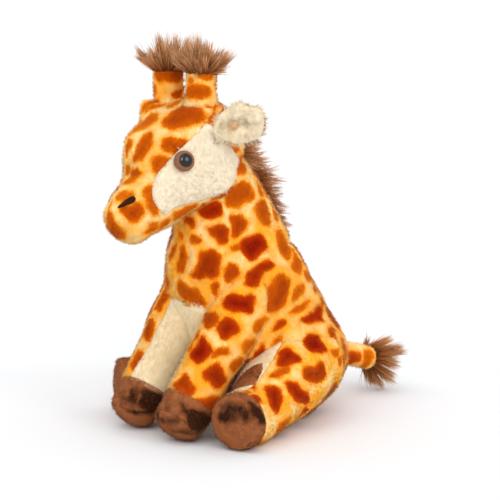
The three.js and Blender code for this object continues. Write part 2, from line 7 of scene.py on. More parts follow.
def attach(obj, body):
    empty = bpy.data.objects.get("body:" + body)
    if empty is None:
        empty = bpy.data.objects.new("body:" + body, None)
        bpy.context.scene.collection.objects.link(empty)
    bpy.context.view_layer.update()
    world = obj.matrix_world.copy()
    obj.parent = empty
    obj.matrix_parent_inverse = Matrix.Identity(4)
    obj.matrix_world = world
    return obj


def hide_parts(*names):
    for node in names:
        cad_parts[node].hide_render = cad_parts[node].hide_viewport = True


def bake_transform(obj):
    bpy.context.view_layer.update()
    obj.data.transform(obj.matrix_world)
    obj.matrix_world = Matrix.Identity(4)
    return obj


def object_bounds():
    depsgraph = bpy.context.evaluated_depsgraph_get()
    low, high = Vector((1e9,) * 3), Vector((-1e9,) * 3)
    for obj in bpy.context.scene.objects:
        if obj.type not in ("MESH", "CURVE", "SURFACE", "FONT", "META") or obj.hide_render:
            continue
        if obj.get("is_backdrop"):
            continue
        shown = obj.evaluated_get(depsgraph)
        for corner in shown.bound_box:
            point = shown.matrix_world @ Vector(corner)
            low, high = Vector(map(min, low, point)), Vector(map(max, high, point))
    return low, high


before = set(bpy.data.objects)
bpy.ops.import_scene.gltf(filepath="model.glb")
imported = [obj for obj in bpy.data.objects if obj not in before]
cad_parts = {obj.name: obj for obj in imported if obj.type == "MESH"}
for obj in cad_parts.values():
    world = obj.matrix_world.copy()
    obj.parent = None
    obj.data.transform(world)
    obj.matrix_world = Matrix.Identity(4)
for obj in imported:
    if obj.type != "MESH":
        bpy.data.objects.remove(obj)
cadLow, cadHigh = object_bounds()
mm = 0.001
axisX, axisY, axisZ = np.eye(3)
hands = {"Left": 1, "Right": -1}  # the giraffe's own left lies along x

# The camera stands where the photograph was taken from
camera = {
    "azimuth": 50, "elevation": 8.8, "distance": 1120, "target": (0, -17, 103.1), "lens": 132.8, "sensor": 36,
    "near": 0.05, "far": 100,
}
pictureSize = 500

azimuth, elevation = np.radians(camera["azimuth"]), np.radians(camera["elevation"])
towardCamera = np.array([
    np.sin(azimuth) * np.cos(elevation), -np.cos(azimuth) * np.cos(elevation), np.sin(elevation)])
cameraRight = np.array([np.cos(azimuth), np.sin(azimuth), 0])
cameraUp = np.cross(towardCamera, cameraRight)
cameraPlace = np.array(camera["target"]) + camera["distance"] * towardCamera
focalPixels = camera["lens"] / camera["sensor"] * pictureSize

cameraData = bpy.data.cameras.new("photoCamera")
cameraData.lens, cameraData.sensor_width = camera["lens"], camera["sensor"]
cameraData.clip_start, cameraData.clip_end = camera["near"], camera["far"]
cameraObject = bpy.data.objects.new("photoCamera", cameraData)
bpy.context.scene.collection.objects.link(cameraObject)
cameraObject.location = cameraPlace * mm
cameraObject.rotation_euler = Vector(-towardCamera).to_track_quat("-Z", "Y").to_euler()
bpy.context.scene.camera = cameraObject


def unit(vectors):
    return vectors / np.maximum(np.linalg.norm(vectors, axis=-1, keepdims=True), 1e-12)


def dot(a, b):
    return np.sum(a * b, axis=-1)


# Slow at both ends of the way from 0 to 1
def eased(share):
    return share * share * (3 - 2 * share)


# Uniform Catmull-Rom through the points, as in the CAD source
def curveAt(points, share):
    padded = np.vstack([2 * points[0] - points[1], points, 2 * points[-1] - points[-2]])
    last = len(points) - 1
    place = np.clip(share, 0, 1) * last
    first = np.minimum(place.astype(int), last - 1)
    w = (place - first)[:, None]
    p0, p1, p2, p3 = (padded[first + k] for k in range(4))
    m1, m2 = (p2 - p0) / 2, (p3 - p1) / 2
    return (2 * p1 - 2 * p2 + m1 + m2) * w ** 3 + (3 * p2 - 3 * p1 - 2 * m1 - m2) * w ** 2 + m1 * w + p1


# A stuffed form: a centre line, half sizes along it and a dome at each end
class Form:
    steps = 40  # places along the line where a distance is taken
    pressed = 0.5  # how far a stuffed form is flattened where it rests on the table

    def __init__(self, line, halves, domes, across=axisX, tiltShare=1, coarse=None):
        self.line, self.halves = np.array(line, float), np.array(halves, float)
        self.domes, self.across, self.tiltShare = domes, np.array(across, float), tiltShare
        if coarse:
            lowest = self.ringPoints(*self.rings(coarse[0], 3), coarse[1])[..., 2].min()
            self.line[:, 2] -= self.pressed + min(lowest, self.poles()[:, 2].min())

    def section(self, share):
        share = np.atleast_1d(np.asarray(share, float))
        step = 1e-4
        ahead = curveAt(self.line, np.minimum(share + step, 1))
        tangent = unit(ahead - curveAt(self.line, np.maximum(share - step, 0)))
        along = unit(axisZ * (1 - self.tiltShare) + tangent * self.tiltShare)
        side = unit(self.across - along * (along @ self.across)[:, None])
        return curveAt(self.line, share), along, side, np.cross(along, side), curveAt(self.halves, share)

    # Where the rings lie: share of the line, scale of the half sizes, shift along the line
    def rings(self, count, domeSteps):
        lift = np.linspace(0, np.pi / 2, domeSteps + 1)[1:-1]
        share = np.concatenate([np.zeros(len(lift)), np.linspace(0, 1, count + 1), np.ones(len(lift))])
        scale = np.concatenate([np.sin(lift), np.ones(count + 1), np.sin(lift[::-1])])
        shift = np.concatenate([
            -self.domes[0] * np.cos(lift), np.zeros(count + 1), self.domes[1] * np.cos(lift[::-1])])
        return share, scale, shift

    def ringPoints(self, share, scale, shift, sides, grow=0.0):
        at, along, side, deep, half = self.section(share)
        turn = np.arange(sides) / sides * 2 * np.pi
        wide = ((half[:, 0] + grow) * scale)[:, None] * np.cos(turn)
        tall = ((half[:, 1] + grow) * scale)[:, None] * np.sin(turn)
        middle = at + along * (shift * (1 + grow / 10))[:, None]
        return middle[:, None] + side[:, None] * wide[..., None] + deep[:, None] * tall[..., None]

    def poles(self, grow=0.0):
        at, along, *_ = self.section([0, 1])
        return at + along * np.array([[-self.domes[0] - grow], [self.domes[1] + grow]])

    # The share of the line that lies nearest
    def nearestShare(self, points):
        at, along, *_ = self.section(np.linspace(0, 1, self.steps + 1))
        return np.argmin(np.abs(dot(points[:, None] - at, along)), axis=1) / self.steps

    # How far points lie outside the form, roughly, and negative inside
    def outside(self, points):
        at, along, side, deep, half = self.section(np.linspace(0, 1, self.steps + 1))
        reach = points[:, None] - at
        lengthwise = dot(reach, along)
        nearest = np.argmin(np.abs(lengthwise), axis=1)
        rows = np.arange(len(points))
        x, y = dot(reach, side)[rows, nearest], dot(reach, deep)[rows, nearest]
        z = lengthwise[rows, nearest]
        dome = np.where(nearest == 0, self.domes[0], self.domes[1])
        z = np.where((nearest == 0) & (z < 0) | (nearest == self.steps) & (z > 0), z, 0)
        rho = np.sqrt((x / half[nearest, 0]) ** 2 + (y / half[nearest, 1]) ** 2 + (z / dome) ** 2) + 1e-9
        return np.sqrt(x ** 2 + y ** 2 + z ** 2) * (1 - 1 / rho)


# The body and neck, as in the CAD source
bodyLook = {
    "height": 170, "halfWidth": 47, "halfDepth": 49, "domes": (6.5, 8), "tiltShare": 0.4,
    "back": (0.004, 0.008, 0, -0.076, -0.163, -0.222, -0.232, -0.252, -0.287, -0.33),
    "up": (0.035, 0.1, 0.21, 0.345, 0.482, 0.606, 0.688, 0.782, 0.882, 0.965),
    "width": (0.6, 0.83, 1, 0.93, 0.81, 0.68, 0.59, 0.53, 0.49, 0.47),
    "depth": (0.61, 0.84, 1, 0.94, 0.85, 0.745, 0.66, 0.59, 0.54, 0.5),
    "pile": 2.3, "lean": 56, "cell": 1.6, "density": 0.8, "fill": 0.85,
}
headLook = {
    "length": 100, "height": 150.5, "halfWidth": 29, "halfDepth": 30, "domes": (20, 11),
    "forward": (0.5, 0.6, 0.72, 0.82, 0.92, 1.03, 1.09),
    "up": (0.23, 0.19, 0.12, 0.02, -0.08, -0.17, -0.225),
    "width": (0.88, 0.97, 1, 0.93, 0.78, 0.63, 0.55),
    "depth": (0.86, 0.96, 1, 0.93, 0.77, 0.6, 0.52),
    "pile": 2.0, "lean": 52, "cell": 1.3, "density": 1.0, "fill": 0.9,
}
frontLegLook = {
    "tall": 100, "radius": 17, "domes": (4, 9), "hoofShare": 0.81, "pivot": (25, -52, 79),
    "side": (0.25, 0.25, 0.24, 0.23, 0.22, 0.215), "back": (-0.36, -0.44, -0.545, -0.68, -0.8, -0.9),
    "up": (0.9, 0.75, 0.58, 0.38, 0.2, 0.085), "thick": (1.05, 1.1, 1.06, 0.98, 1, 0.9),
    "coarse": (7, 12), "tuck": (10, 4), "lining": {"Left": (0.7, 0.75, 0.8), "Right": (0.4, 0.4, 0.4)},
    "pile": 2.0, "lean": 56, "cell": 1.4, "density": 0.95, "fill": 0.8, "seed": 41,
}
hindLegLook = {
    "tall": 100, "radius": 18, "domes": (12, 4), "hoofShare": 0.84, "pivot": (42, 4, 35),
    "side": (0.24, 0.32, 0.42, 0.515, 0.575, 0.6), "back": (0.04, -0.16, -0.38, -0.58, -0.7, -0.78),
    "up": (0.35, 0.31, 0.24, 0.182, 0.172, 0.17), "thick": (1.66, 1.56, 1.28, 1.04, 0.97, 0.95),
    "coarse": (7, 14), "setback": {"Left": 0, "Right": 8.5}, "tuck": (4, 1),
    "lining": {"Left": (-0.35, -0.15, 0.4), "Right": (-0.35, -0.15, 0.4)},
    "pile": 1.9, "lean": 58, "cell": 1.4, "density": 0.95, "fill": 0.8, "seed": 43,
}
hornLook = {"radius": 9.7, "length": 31, "apart": 31, "back": -66.5, "foot": 181, "domes": (3, 3), "fill": 0.9}
tailLook = {"radius": 8.2, "root": 36, "end": 82, "up": 31, "drop": 8, "domes": (4, 4), "fill": 0.8}
earLook = {
    "length": 27, "half": 14, "thick": 4.5, "apart": 50, "back": -60, "up": 180, "domes": (5, 5),
    "sweep": 38, "rise": 12, "shares": (0.62, 0.92, 1, 0.74), "fill": 0.4,
}
shallow = {"pile": 1.8, "lean": 50, "cell": 1.1, "density": 0.9}

bodyForm = Form(
    [(0, back * bodyLook["height"], up * bodyLook["height"])
     for back, up in zip(bodyLook["back"], bodyLook["up"])],
    [(wide * bodyLook["halfWidth"], deep * bodyLook["halfDepth"])
     for wide, deep in zip(bodyLook["width"], bodyLook["depth"])],
    bodyLook["domes"], tiltShare=bodyLook["tiltShare"], coarse=(12, 16))
headForm = Form(
    [(0, -forward * headLook["length"], headLook["height"] + up * headLook["length"])
     for forward, up in zip(headLook["forward"], headLook["up"])],
    [(wide * headLook["halfWidth"], deep * headLook["halfDepth"])
     for wide, deep in zip(headLook["width"], headLook["depth"])],
    headLook["domes"])


def legForm(leg, hand):
    side = hands[hand]
    setback = leg.get("setback", {}).get(hand, 0)
    line = [(side * across * leg["tall"], back * leg["tall"] + setback, up * leg["tall"])
            for across, back, up in zip(leg["side"], leg["back"], leg["up"])]
    halves = [(thick * leg["radius"],) * 2 for thick in leg["thick"]]
    form = Form(line, halves, leg["domes"], coarse=leg["coarse"])
    form.line[:2, 0] -= side * np.array(leg["tuck"])  # the top is drawn into the body, where it is sewn
    return form


def hornForm(side):
    foot = np.array([side * hornLook["apart"] / 2, hornLook["back"], hornLook["foot"]])
    line = [foot + axisZ * hornLook["length"] * share for share in (0, 0.5, 1)]
    return Form(line, [(hornLook["radius"],) * 2] * 3, hornLook["domes"])


tailForm = Form(
    [(0, tailLook["root"] + (tailLook["end"] - tailLook["root"]) * share,
      tailLook["up"] - share ** 2 * tailLook["drop"]) for share in (0, 0.5, 1)],
    [(tailLook["radius"],) * 2] * 3, tailLook["domes"])


def earForm(side):
    sweep, rise = np.radians(earLook["sweep"]), np.radians(earLook["rise"])
    along = np.array([side * np.cos(sweep) * np.cos(rise), np.sin(sweep) * np.cos(rise), np.sin(rise)])
    facing = np.array([side * np.sin(sweep), -np.cos(sweep), 0])
    root = np.array([side * earLook["apart"] / 2, earLook["back"], earLook["up"]])
    reach = earLook["length"] - earLook["domes"][1]
    line = [root + along * reach * share for share in (0, 1 / 3, 2 / 3, 1)]
    halves = [(share * earLook["half"], earLook["thick"]) for share in earLook["shares"]]
    return Form(line, halves, earLook["domes"], across=np.cross(facing, along)), root, along, facing


# A sheet is a dictionary of points, triangles and places on the form, each a share of a turn and of the length
def meshNormals(points, faces):
    flat = np.cross(points[faces[:, 1]] - points[faces[:, 0]], points[faces[:, 2]] - points[faces[:, 0]])
    normals = np.zeros_like(points)
    for corner in range(3):
        np.add.at(normals, faces[:, corner], flat)
    return unit(normals)


# Triangles of a tube of rings with a pole at each end, and the places of its points
def tubeFaces(count, sides):
    around = np.arange(sides)
    onward = (around + 1) % sides
    ring, turn = np.meshgrid(np.arange(count - 1), around, indexing="ij")
    a, b = ring * sides + turn, ring * sides + onward[turn]
    top = (count - 1) * sides
    faces = np.vstack([
        np.stack([a, b, b + sides], -1).reshape(-1, 3), np.stack([a, b + sides, a + sides], -1).reshape(-1, 3),
        np.stack([np.full(sides, count * sides), onward, around], -1),
        np.stack([np.full(sides, count * sides + 1), top + around, top + onward], -1)])
    levels = (np.arange(count) + 1) / (count + 1)
    place = np.stack([np.tile(around / sides, count), np.repeat(levels, sides)], -1)
    return faces, np.vstack([place, [[0.5, 0], [0.5, 1]]])


def formSheet(form, cell, inset):
    length = np.linalg.norm(np.diff(curveAt(form.line, np.linspace(0, 1, 60)), axis=0), axis=1).sum()
    sides = int(np.ceil(2 * np.pi * form.halves.max() / cell))
    domeSteps = max(4, int(np.ceil(form.halves[[0, -1]].max() / cell)))
    share, scale, shift = form.rings(max(4, int(np.ceil(length / cell))), domeSteps)
    grid = form.ringPoints(share, scale, shift, sides, -inset)
    faces, place = tubeFaces(len(share), sides)
    return {"points": np.vstack([grid.reshape(-1, 3), form.poles(-inset)]), "faces": faces, "place": place}


def edgesOf(faces):
    pairs = np.vstack([faces[:, [0, 1]], faces[:, [1, 2]], faces[:, [2, 0]]])
    keys = np.sort(pairs, axis=1)
    inverse, counts = np.unique(keys, axis=0, return_inverse=True, return_counts=True)[1:]
    return pairs[counts[inverse.ravel()] == 1]


# Keeps the part of a sheet where the measure is negative, with its edge drawn exactly on the zero line
def cutSheet(sheet, measure, cell):
    points, faces = sheet["points"].copy(), sheet["faces"]
    away = measure(points)
    kept = faces[away[faces].mean(axis=1) < 0]
    edge = np.unique(edgesOf(kept))
    step, leastSlope, furthest = 0.2, 0.05, 1.5 * cell
    slope = np.stack([(measure(points[edge] + axis * step) - away[edge]) / step for axis in np.eye(3)], -1)
    normals = meshNormals(points, faces)[edge]
    slope -= normals * dot(slope, normals)[:, None]
    move = -away[edge][:, None] * slope / np.maximum(dot(slope, slope), leastSlope)[:, None]
    size = np.linalg.norm(move, axis=1, keepdims=True)
    points[edge] += move * np.minimum(1, furthest / np.maximum(size, 1e-9))
    used, kept = np.unique(kept, return_inverse=True)
    return {"points": points[used], "faces": kept.reshape(-1, 3), "place": sheet["place"][used]}


# The fabric turns in at its sewn edge: a shallow valley on the face and a hem behind it
def hemSheet(sheet, valley=0.35, width=1.2, hem=2.2):
    points, faces = sheet["points"], sheet["faces"]
    rim = edgesOf(faces)
    if not len(rim):
        return sheet
    normals = meshNormals(points, faces)
    tree = BVHTree.FromPolygons([tuple(p) for p in points[rim].reshape(-1, 3)],
                                [(2 * i, 2 * i + 1, 2 * i + 1) for i in range(len(rim))])
    far = 4 * width
    near = np.array([tree.find_nearest(Vector(p), far)[3] or far for p in points])
    on = np.unique(rim)
    near[on] = 0
    points = points - normals * (valley * np.exp(-(near / width) ** 2))[:, None]
    behind = points[on] - normals[on] * hem
    index = np.zeros(len(points), int)
    index[on] = len(points) + np.arange(len(on))
    a, b = rim[:, 0], rim[:, 1]
    walls = np.vstack([np.stack([b, a, index[a]], -1), np.stack([b, index[a], index[b]], -1)])
    return {
        "points": np.vstack([points, behind]), "faces": np.vstack([faces, walls]), "front": len(faces),
        "place": np.vstack([sheet["place"], sheet["place"][on]]),
    }


rng = np.random.default_rng(20)


# A smooth random field over space, from -1 to 1 or so, with bumps of about that size
def wobble(points, size, seed):
    source = np.random.default_rng(seed)
    count, period, scale = 7, 2.4 * size, 3
    waves = unit(source.normal(size=(count, 3))) * source.uniform(0.7, 1.4, (count, 1)) * 2 * np.pi / period
    return np.sin(points @ waves.T + source.uniform(0, 2 * np.pi, count)).sum(axis=1) / scale


def linearColour(hexCode):
    parts = [int(hexCode[i:i + 2], 16) / 255 for i in (1, 3, 5)]
    return tuple(p / 12.92 if p <= 0.04045 else ((p + 0.055) / 1.055) ** 2.4 for p in parts) + (1,)


# Printed patches that the photograph shows, read one by one: a darkness, then corners in the picture's pixels
headPatches = [
    (0.6, (164, 128), (163, 121), (172, 112), (184, 105), (196, 104), (203, 110), (207, 117), (203, 123),
     (178, 129)),
    (0.6, (160, 146), (162, 139), (168, 137), (188, 140), (187, 147), (179, 154), (168, 153)),
    (0.5, (151, 161), (155, 155), (162, 155), (171, 160), (166, 166), (158, 174), (153, 171)),
    (0.55, (141, 140), (147, 133), (153, 133), (153, 143), (147, 153), (141, 161), (133, 161), (134, 155)),
    (0.25, (125, 132), (136, 121), (148, 115), (158, 114), (158, 120), (148, 127), (135, 132)),
    (0.25, (143, 113), (150, 106), (160, 101), (168, 102), (160, 107), (148, 112)),
    (0.35, (141, 104), (147, 98), (158, 95), (160, 99), (152, 104), (145, 110), (141, 112)),
    (0.2, (166, 107), (175, 102), (181, 100), (179, 104), (170, 109)),
    (0.45, (123, 141), (128, 139), (133, 140), (131, 147), (127, 158), (123, 150)),
    (0.2, (126, 168), (129, 164), (130, 172), (126, 175)),
    (0.6, (131, 172), (136, 169), (141, 171), (142, 174), (136, 178), (131, 176)),
    (0.2, (122, 184), (129, 178), (135, 177), (136, 180), (130, 184)),
    (0.3, (116, 197), (119, 193), (126, 191), (133, 193), (135, 197), (126, 200), (118, 202)),
    (0.65, (119, 210), (128, 205), (139, 202), (144, 208), (144, 214), (138, 222), (131, 222), (125, 216)),
    (0.5, (142, 191), (149, 186), (153, 187), (153, 197), (159, 209), (158, 215), (152, 214), (147, 205)),
    (0.3, (143, 233), (149, 228), (151, 223), (157, 223), (159, 227), (154, 231), (147, 234)),
    (0.35, (159, 231), (160, 225), (166, 219), (170, 218), (169, 224), (164, 230)),
    (0.5, (104, 205), (108, 208), (112, 214), (116, 222), (126, 233), (125, 239), (117, 238), (109, 230),
     (104, 218)),
    (0.2, (123, 241), (135, 243), (150, 240), (148, 245), (135, 247), (125, 246)),
    (0.35, (173, 213), (181, 210), (190, 206), (198, 203), (194, 209), (184, 215), (178, 221), (174, 220)),
    (0.55, (236, 161), (240, 154), (244, 158), (246, 168), (243, 175), (239, 174), (236, 168)),
    (0.3, (249, 160), (253, 158), (255, 170), (252, 178)),
    (0.3, (231, 147), (240, 147), (237, 152), (234, 153)),
    (0.6, (206, 106), (212, 108), (217, 105), (216, 112), (212, 120), (213, 127), (207, 122)),
    (0.2, (217, 103), (225, 101), (228, 104), (221, 109)),
    (0.55, (187, 97), (187, 88), (191, 84), (200, 84), (208, 87), (211, 92), (209, 97), (198, 99)),
    (0.35, (197, 71), (205, 71), (212, 73), (212, 80), (205, 80), (199, 76)),
    (0.25, (188, 80), (190, 76), (194, 79), (191, 84)), (0.2, (214, 72), (221, 73), (219, 79), (215, 78)),
    (0.2, (215, 84), (219, 83), (219, 98), (215, 96)),
]
farHornPatches = [
    (0.6, (154, 73), (160, 69), (172, 67), (184, 67), (186, 74), (184, 80), (172, 82), (160, 82), (156, 78)),
    (0.7, (170, 94), (176, 90), (183, 90), (181, 97), (174, 98)),
    (0.35, (152, 84), (156, 86), (157, 92), (152, 96)),
]
bodyPatches = [
    (0.55, (236, 161), (240, 154), (244, 158), (246, 168), (243, 175), (239, 174), (236, 168)),
    (0.3, (249, 160), (253, 158), (255, 170), (252, 178)),
    (0.5, (231, 189), (243, 181), (250, 184), (255, 196), (253, 200), (228, 210), (223, 199)),
    (1, (198, 209), (221, 199), (224, 216), (205, 219), (199, 215)),
    (0.85, (206, 227), (229, 225), (231, 240), (228, 243), (218, 244), (212, 236)),
    (0.75, (229, 216), (240, 214), (248, 222), (247, 227), (238, 237), (232, 239), (231, 227)),
    (1, (239, 243), (250, 235), (262, 233), (268, 244), (266, 250), (255, 259), (249, 261), (240, 250)),
    (0.6, (230, 246), (240, 243), (242, 250), (231, 252)),
    (0.5, (256, 204), (263, 199), (267, 205), (271, 222), (268, 226), (262, 224), (254, 211)),
    (0.45, (275, 230), (280, 229), (286, 240), (291, 250), (289, 259), (285, 260), (278, 250)),
    (0.82, (199, 251), (221, 250), (221, 272), (217, 278), (200, 279), (191, 278), (193, 272), (199, 262)),
    (0.75, (229, 262), (235, 265), (241, 271), (234, 281), (225, 283), (223, 276)),
    (0.95, (268, 259), (275, 264), (272, 269), (262, 273), (258, 286), (250, 288), (244, 284), (246, 275),
     (256, 265)),
    (0.65, (277, 274), (284, 275), (290, 281), (289, 290), (285, 303), (279, 311), (268, 312), (263, 309),
     (267, 293)),
    (0.5, (295, 245), (299, 252), (302, 264), (301, 274), (292, 270), (291, 266), (294, 256)),
    (0.4, (303, 273), (309, 271), (311, 279), (308, 283)), (0.35, (304, 254), (310, 266), (306, 268)),
    (0.7, (212, 282), (221, 282), (220, 291), (216, 300), (212, 291)),
    (0.5, (178, 280), (184, 282), (190, 288), (199, 289), (203, 297), (210, 305), (204, 307), (184, 300),
     (178, 292)),
    (1, (228, 294), (240, 296), (254, 294), (255, 308), (251, 313), (238, 313), (226, 310), (222, 303)),
    (0.35, (294, 289), (300, 284), (305, 286), (303, 294), (294, 303), (291, 300)),
    (0.55, (288, 312), (296, 306), (310, 300), (308, 305), (301, 312), (291, 315)),
    (1, (299, 320), (309, 314), (318, 305), (323, 308), (327, 315), (325, 322), (314, 323), (305, 324)),
    (0.6, (312, 283), (315, 283), (317, 291), (314, 294)), (0.5, (320, 297), (324, 303), (320, 309)),
    (0.55, (180, 249), (184, 245), (188, 254), (187, 264), (184, 273), (176, 272), (180, 260)),
    (0.55, (190, 236), (197, 236), (201, 240), (198, 244), (191, 243)),
    (0.8, (184, 219), (192, 216), (195, 222), (193, 230), (190, 225), (184, 223)),
    (0.5, (178, 236), (182, 232), (184, 236), (182, 240)),
    (0.45, (168, 262), (172, 249), (177, 243), (175, 255)),
    (0.5, (185, 305), (193, 309), (204, 312), (206, 316), (200, 320), (192, 314)),
    (0.3, (252, 330), (256, 320), (262, 317), (270, 318), (264, 325), (258, 333)),
    (0.85, (271, 331), (277, 322), (282, 318), (287, 321), (284, 327), (275, 331)),
    (0.5, (270, 345), (277, 338), (284, 336), (281, 341), (274, 346)),
    (0.4, (256, 180), (260, 183), (264, 197), (259, 195)),
    (0.4, (271, 203), (276, 207), (279, 220), (275, 222)),
    (0.35, (328, 306), (333, 311), (340, 326), (335, 322)),
    (0.4, (340, 334), (345, 345), (346, 362), (342, 350)),
    # the near front leg
    (0.7, (203, 325), (205, 314), (213, 312), (220, 317), (218, 324), (208, 330)),
    (0.95, (215, 328), (224, 318), (231, 317), (241, 328), (237, 334), (227, 341), (220, 337)),
    (1, (196, 346), (201, 336), (206, 339), (213, 349), (208, 358), (199, 366), (190, 358), (191, 351)),
    (0.6, (212, 350), (222, 348), (229, 349), (230, 354), (222, 356), (211, 358)),
    (0.9, (200, 373), (210, 366), (219, 362), (224, 372), (226, 380), (222, 387), (212, 388), (206, 381)),
    (0.8, (172, 385), (180, 380), (185, 373), (190, 380), (197, 388), (194, 395), (186, 397), (180, 392)),
    (0.75, (184, 403), (195, 400), (208, 397), (220, 397), (219, 406), (215, 414), (203, 412), (191, 409)),
    (0.5, (229, 366), (233, 360), (243, 357), (242, 363), (234, 371), (231, 371)),
    (0.3, (240, 345), (247, 340), (256, 338), (254, 343), (245, 355)),
    (0.3, (224, 395), (230, 388), (232, 392), (226, 398)),
    (0.35, (185, 349), (190, 342), (194, 344), (190, 351)),
    (0.4, (193, 334), (198, 329), (200, 337), (194, 341)),
    # the far front leg
    (0.55, (154, 309), (154, 300), (157, 291), (162, 287), (169, 294), (169, 298), (163, 306), (160, 312)),
    (0.65, (147, 326), (149, 319), (155, 321), (153, 331), (150, 342), (144, 339), (144, 331)),
    (0.65, (127, 362), (130, 355), (138, 350), (145, 354), (142, 363), (138, 372), (131, 370)),
    (0.35, (118, 385), (121, 378), (127, 379), (127, 386)),
    (0.4, (163, 283), (166, 275), (170, 280), (168, 290)),
    # the near hind leg
    (1, (303, 341), (309, 333), (318, 336), (322, 343), (328, 350), (325, 354), (311, 353), (304, 345)),
    (0.95, (280, 350), (287, 347), (292, 350), (301, 357), (301, 362), (291, 364), (283, 368), (276, 366)),
    (0.6, (267, 377), (276, 370), (286, 366), (291, 368), (285, 375), (275, 379)),
    (0.8, (303, 367), (315, 368), (320, 361), (324, 362), (326, 378), (319, 382), (311, 383), (304, 379),
     (302, 373)),
    (0.95, (262, 386), (279, 387), (283, 399), (278, 415), (271, 409), (268, 399)),
    (0.95, (283, 381), (297, 382), (300, 388), (308, 394), (310, 402), (305, 404), (294, 402), (289, 392)),
    (0.8, (292, 408), (305, 406), (309, 410), (305, 419), (298, 427), (296, 418)),
    (0.5, (321, 390), (331, 389), (328, 400), (322, 410), (316, 420), (310, 421), (316, 408), (319, 398)),
    (0.4, (273, 439), (277, 426), (285, 420), (291, 417), (288, 424), (280, 433), (276, 441)),
    (0.9, (250, 398), (254, 394), (260, 397), (261, 404), (255, 403)),
    (0.3, (239, 395), (248, 390), (251, 393), (243, 397)),
    (0.7, (327, 330), (330, 325), (335, 329), (334, 336), (337, 341), (332, 342)),
    (0.5, (330, 350), (339, 349), (338, 356), (333, 357)),
    (0.5, (338, 357), (345, 355), (344, 365), (339, 367)),
]
tailPatches = [
    (0.8, (346, 352), (355, 350), (361, 354), (360, 362), (355, 367), (345, 367)),
    (0.4, (362, 350), (371, 350), (373, 358), (370, 370), (364, 369)),
]
# Painted shade on the hooves, the dark of pile that lies over and of shade that falls there: how dark, then
# places in the picture's pixels
hoofShades = [
    (1, (140, 390), (150, 391), (160, 394), (169, 396), (165, 403), (160, 409), (150, 410), (141, 408),
     (138, 403), (141, 396)),
    (0.5, (130, 387), (142, 389), (142, 397), (139, 403), (141, 409), (130, 409), (127, 400)),
    (0.3, (117, 394), (127, 388), (129, 400), (131, 410), (120, 406)),
    (0.9, (128, 410), (140, 411), (150, 410), (159, 406), (160, 410), (150, 413), (140, 414), (129, 412)),
    (0.6, (154, 412), (161, 410), (161, 426), (154, 424), (155, 417)),
    (1, (190, 408), (200, 412), (213, 416), (213, 432), (206, 437), (200, 438), (198, 431), (192, 428),
     (189, 423), (188, 415)),
    (0.6, (179, 402), (186, 404), (192, 409), (190, 418), (187, 419), (181, 412)),
    (0.5, (160, 418), (172, 417), (180, 418), (184, 423), (178, 424), (168, 424), (161, 423)),
    (0.6, (171, 430), (180, 428), (190, 430), (197, 433), (192, 436), (180, 434), (173, 433)),
    (0.5, (164, 407), (170, 405), (171, 410), (165, 412)),
    (0.8, (223, 409), (229, 408), (232, 414), (231, 421), (226, 424), (222, 420)),
    (0.8, (236, 407), (243, 406), (244, 418), (239, 418)),
    (0.5, (217, 413), (223, 404), (240, 403), (250, 409), (252, 418), (248, 423), (238, 421), (228, 425),
     (218, 421)),
    (0.8, (247, 400), (254, 404), (262, 412), (268, 420), (267, 425), (260, 424), (254, 418), (250, 410)),
]
patchLook = {
    "spacing": 18, "lane": 3.6, "largest": 10.5, "grow": 0.35, "wobble": 0.5, "wobbleSize": 3.2, "overlap": 16,
    "corner": 0.2, "margin": 7, "near": 6.48, "facing": 0.12, "lift": 0.8, "lowest": 2, "cellDark": (0.35, 1),
}

# Seams and folds that the photograph shows: depth in millimetres, then places in the picture's pixels
seamLines = [
    (0.9, (181, 222), (185, 235), (189, 250), (188, 262), (185, 275)),
    (0.5, (223, 200), (226, 212), (229, 226), (230, 243)),
    (1.0, (223, 281), (219, 291), (211, 304), (201, 319), (193, 334)),
    (1.2, (306, 295), (290, 309), (275, 318), (266, 326), (257, 338)),
    (1.6, (320, 303), (316, 309), (311, 316), (303, 324)),
    (0.8, (284, 392), (291, 402), (296, 412), (297, 421)),
    (1.0, (120, 407), (129, 411), (141, 413), (151, 411), (160, 407)),
    (0.7, (186, 428), (192, 432), (198, 435)),
]
# seams and folds take a painted sheen: the cloth is painted paler along them
seamLook = {"width": 1.4, "pale": 0.35, "gap": 1.2, "steps": 14, "behind": 3}
hoofShadeLook = {"bare": -0.1, "full": 0.62, "soft": 5}


def treeOf(sheet):
    return BVHTree.FromPolygons([tuple(p) for p in sheet["points"]], [tuple(f) for f in sheet["faces"]])


def photoRay(across, up):
    middle = pictureSize / 2
    aim = -towardCamera + cameraRight * (across - middle) / focalPixels - cameraUp * (up - middle) / focalPixels
    return Vector(cameraPlace), Vector(unit(aim))


# Whether something stands in a ray's way, nearer than a distance
def isCovered(ray, distance, others):
    return any((other.ray_cast(*ray)[3] or 1e9) < distance for other in others)


# Signed distance to an outline in a plane, negative inside
def outlineMeasure(outline, pick):
    outline = np.array(outline, float)
    ahead = np.roll(outline, -1, axis=0)

    def measure(points):
        flat = points[:, pick]
        best = np.full(len(flat), 1e9)
        inside = np.zeros(len(flat), bool)
        for a, b in zip(outline, ahead):
            along = b - a
            share = np.clip((flat - a) @ along / (along @ along), 0, 1)
            best = np.minimum(best, np.linalg.norm(flat - a - share[:, None] * along, axis=1))
            crosses = (a[1] > flat[:, 1]) != (b[1] > flat[:, 1])
            at = a[0] + (flat[:, 1] - a[1]) / (along[1] if along[1] else 1e-9) * along[0]
            inside ^= crosses & (flat[:, 0] < at)
        return np.where(inside, -best, best)
    return measure


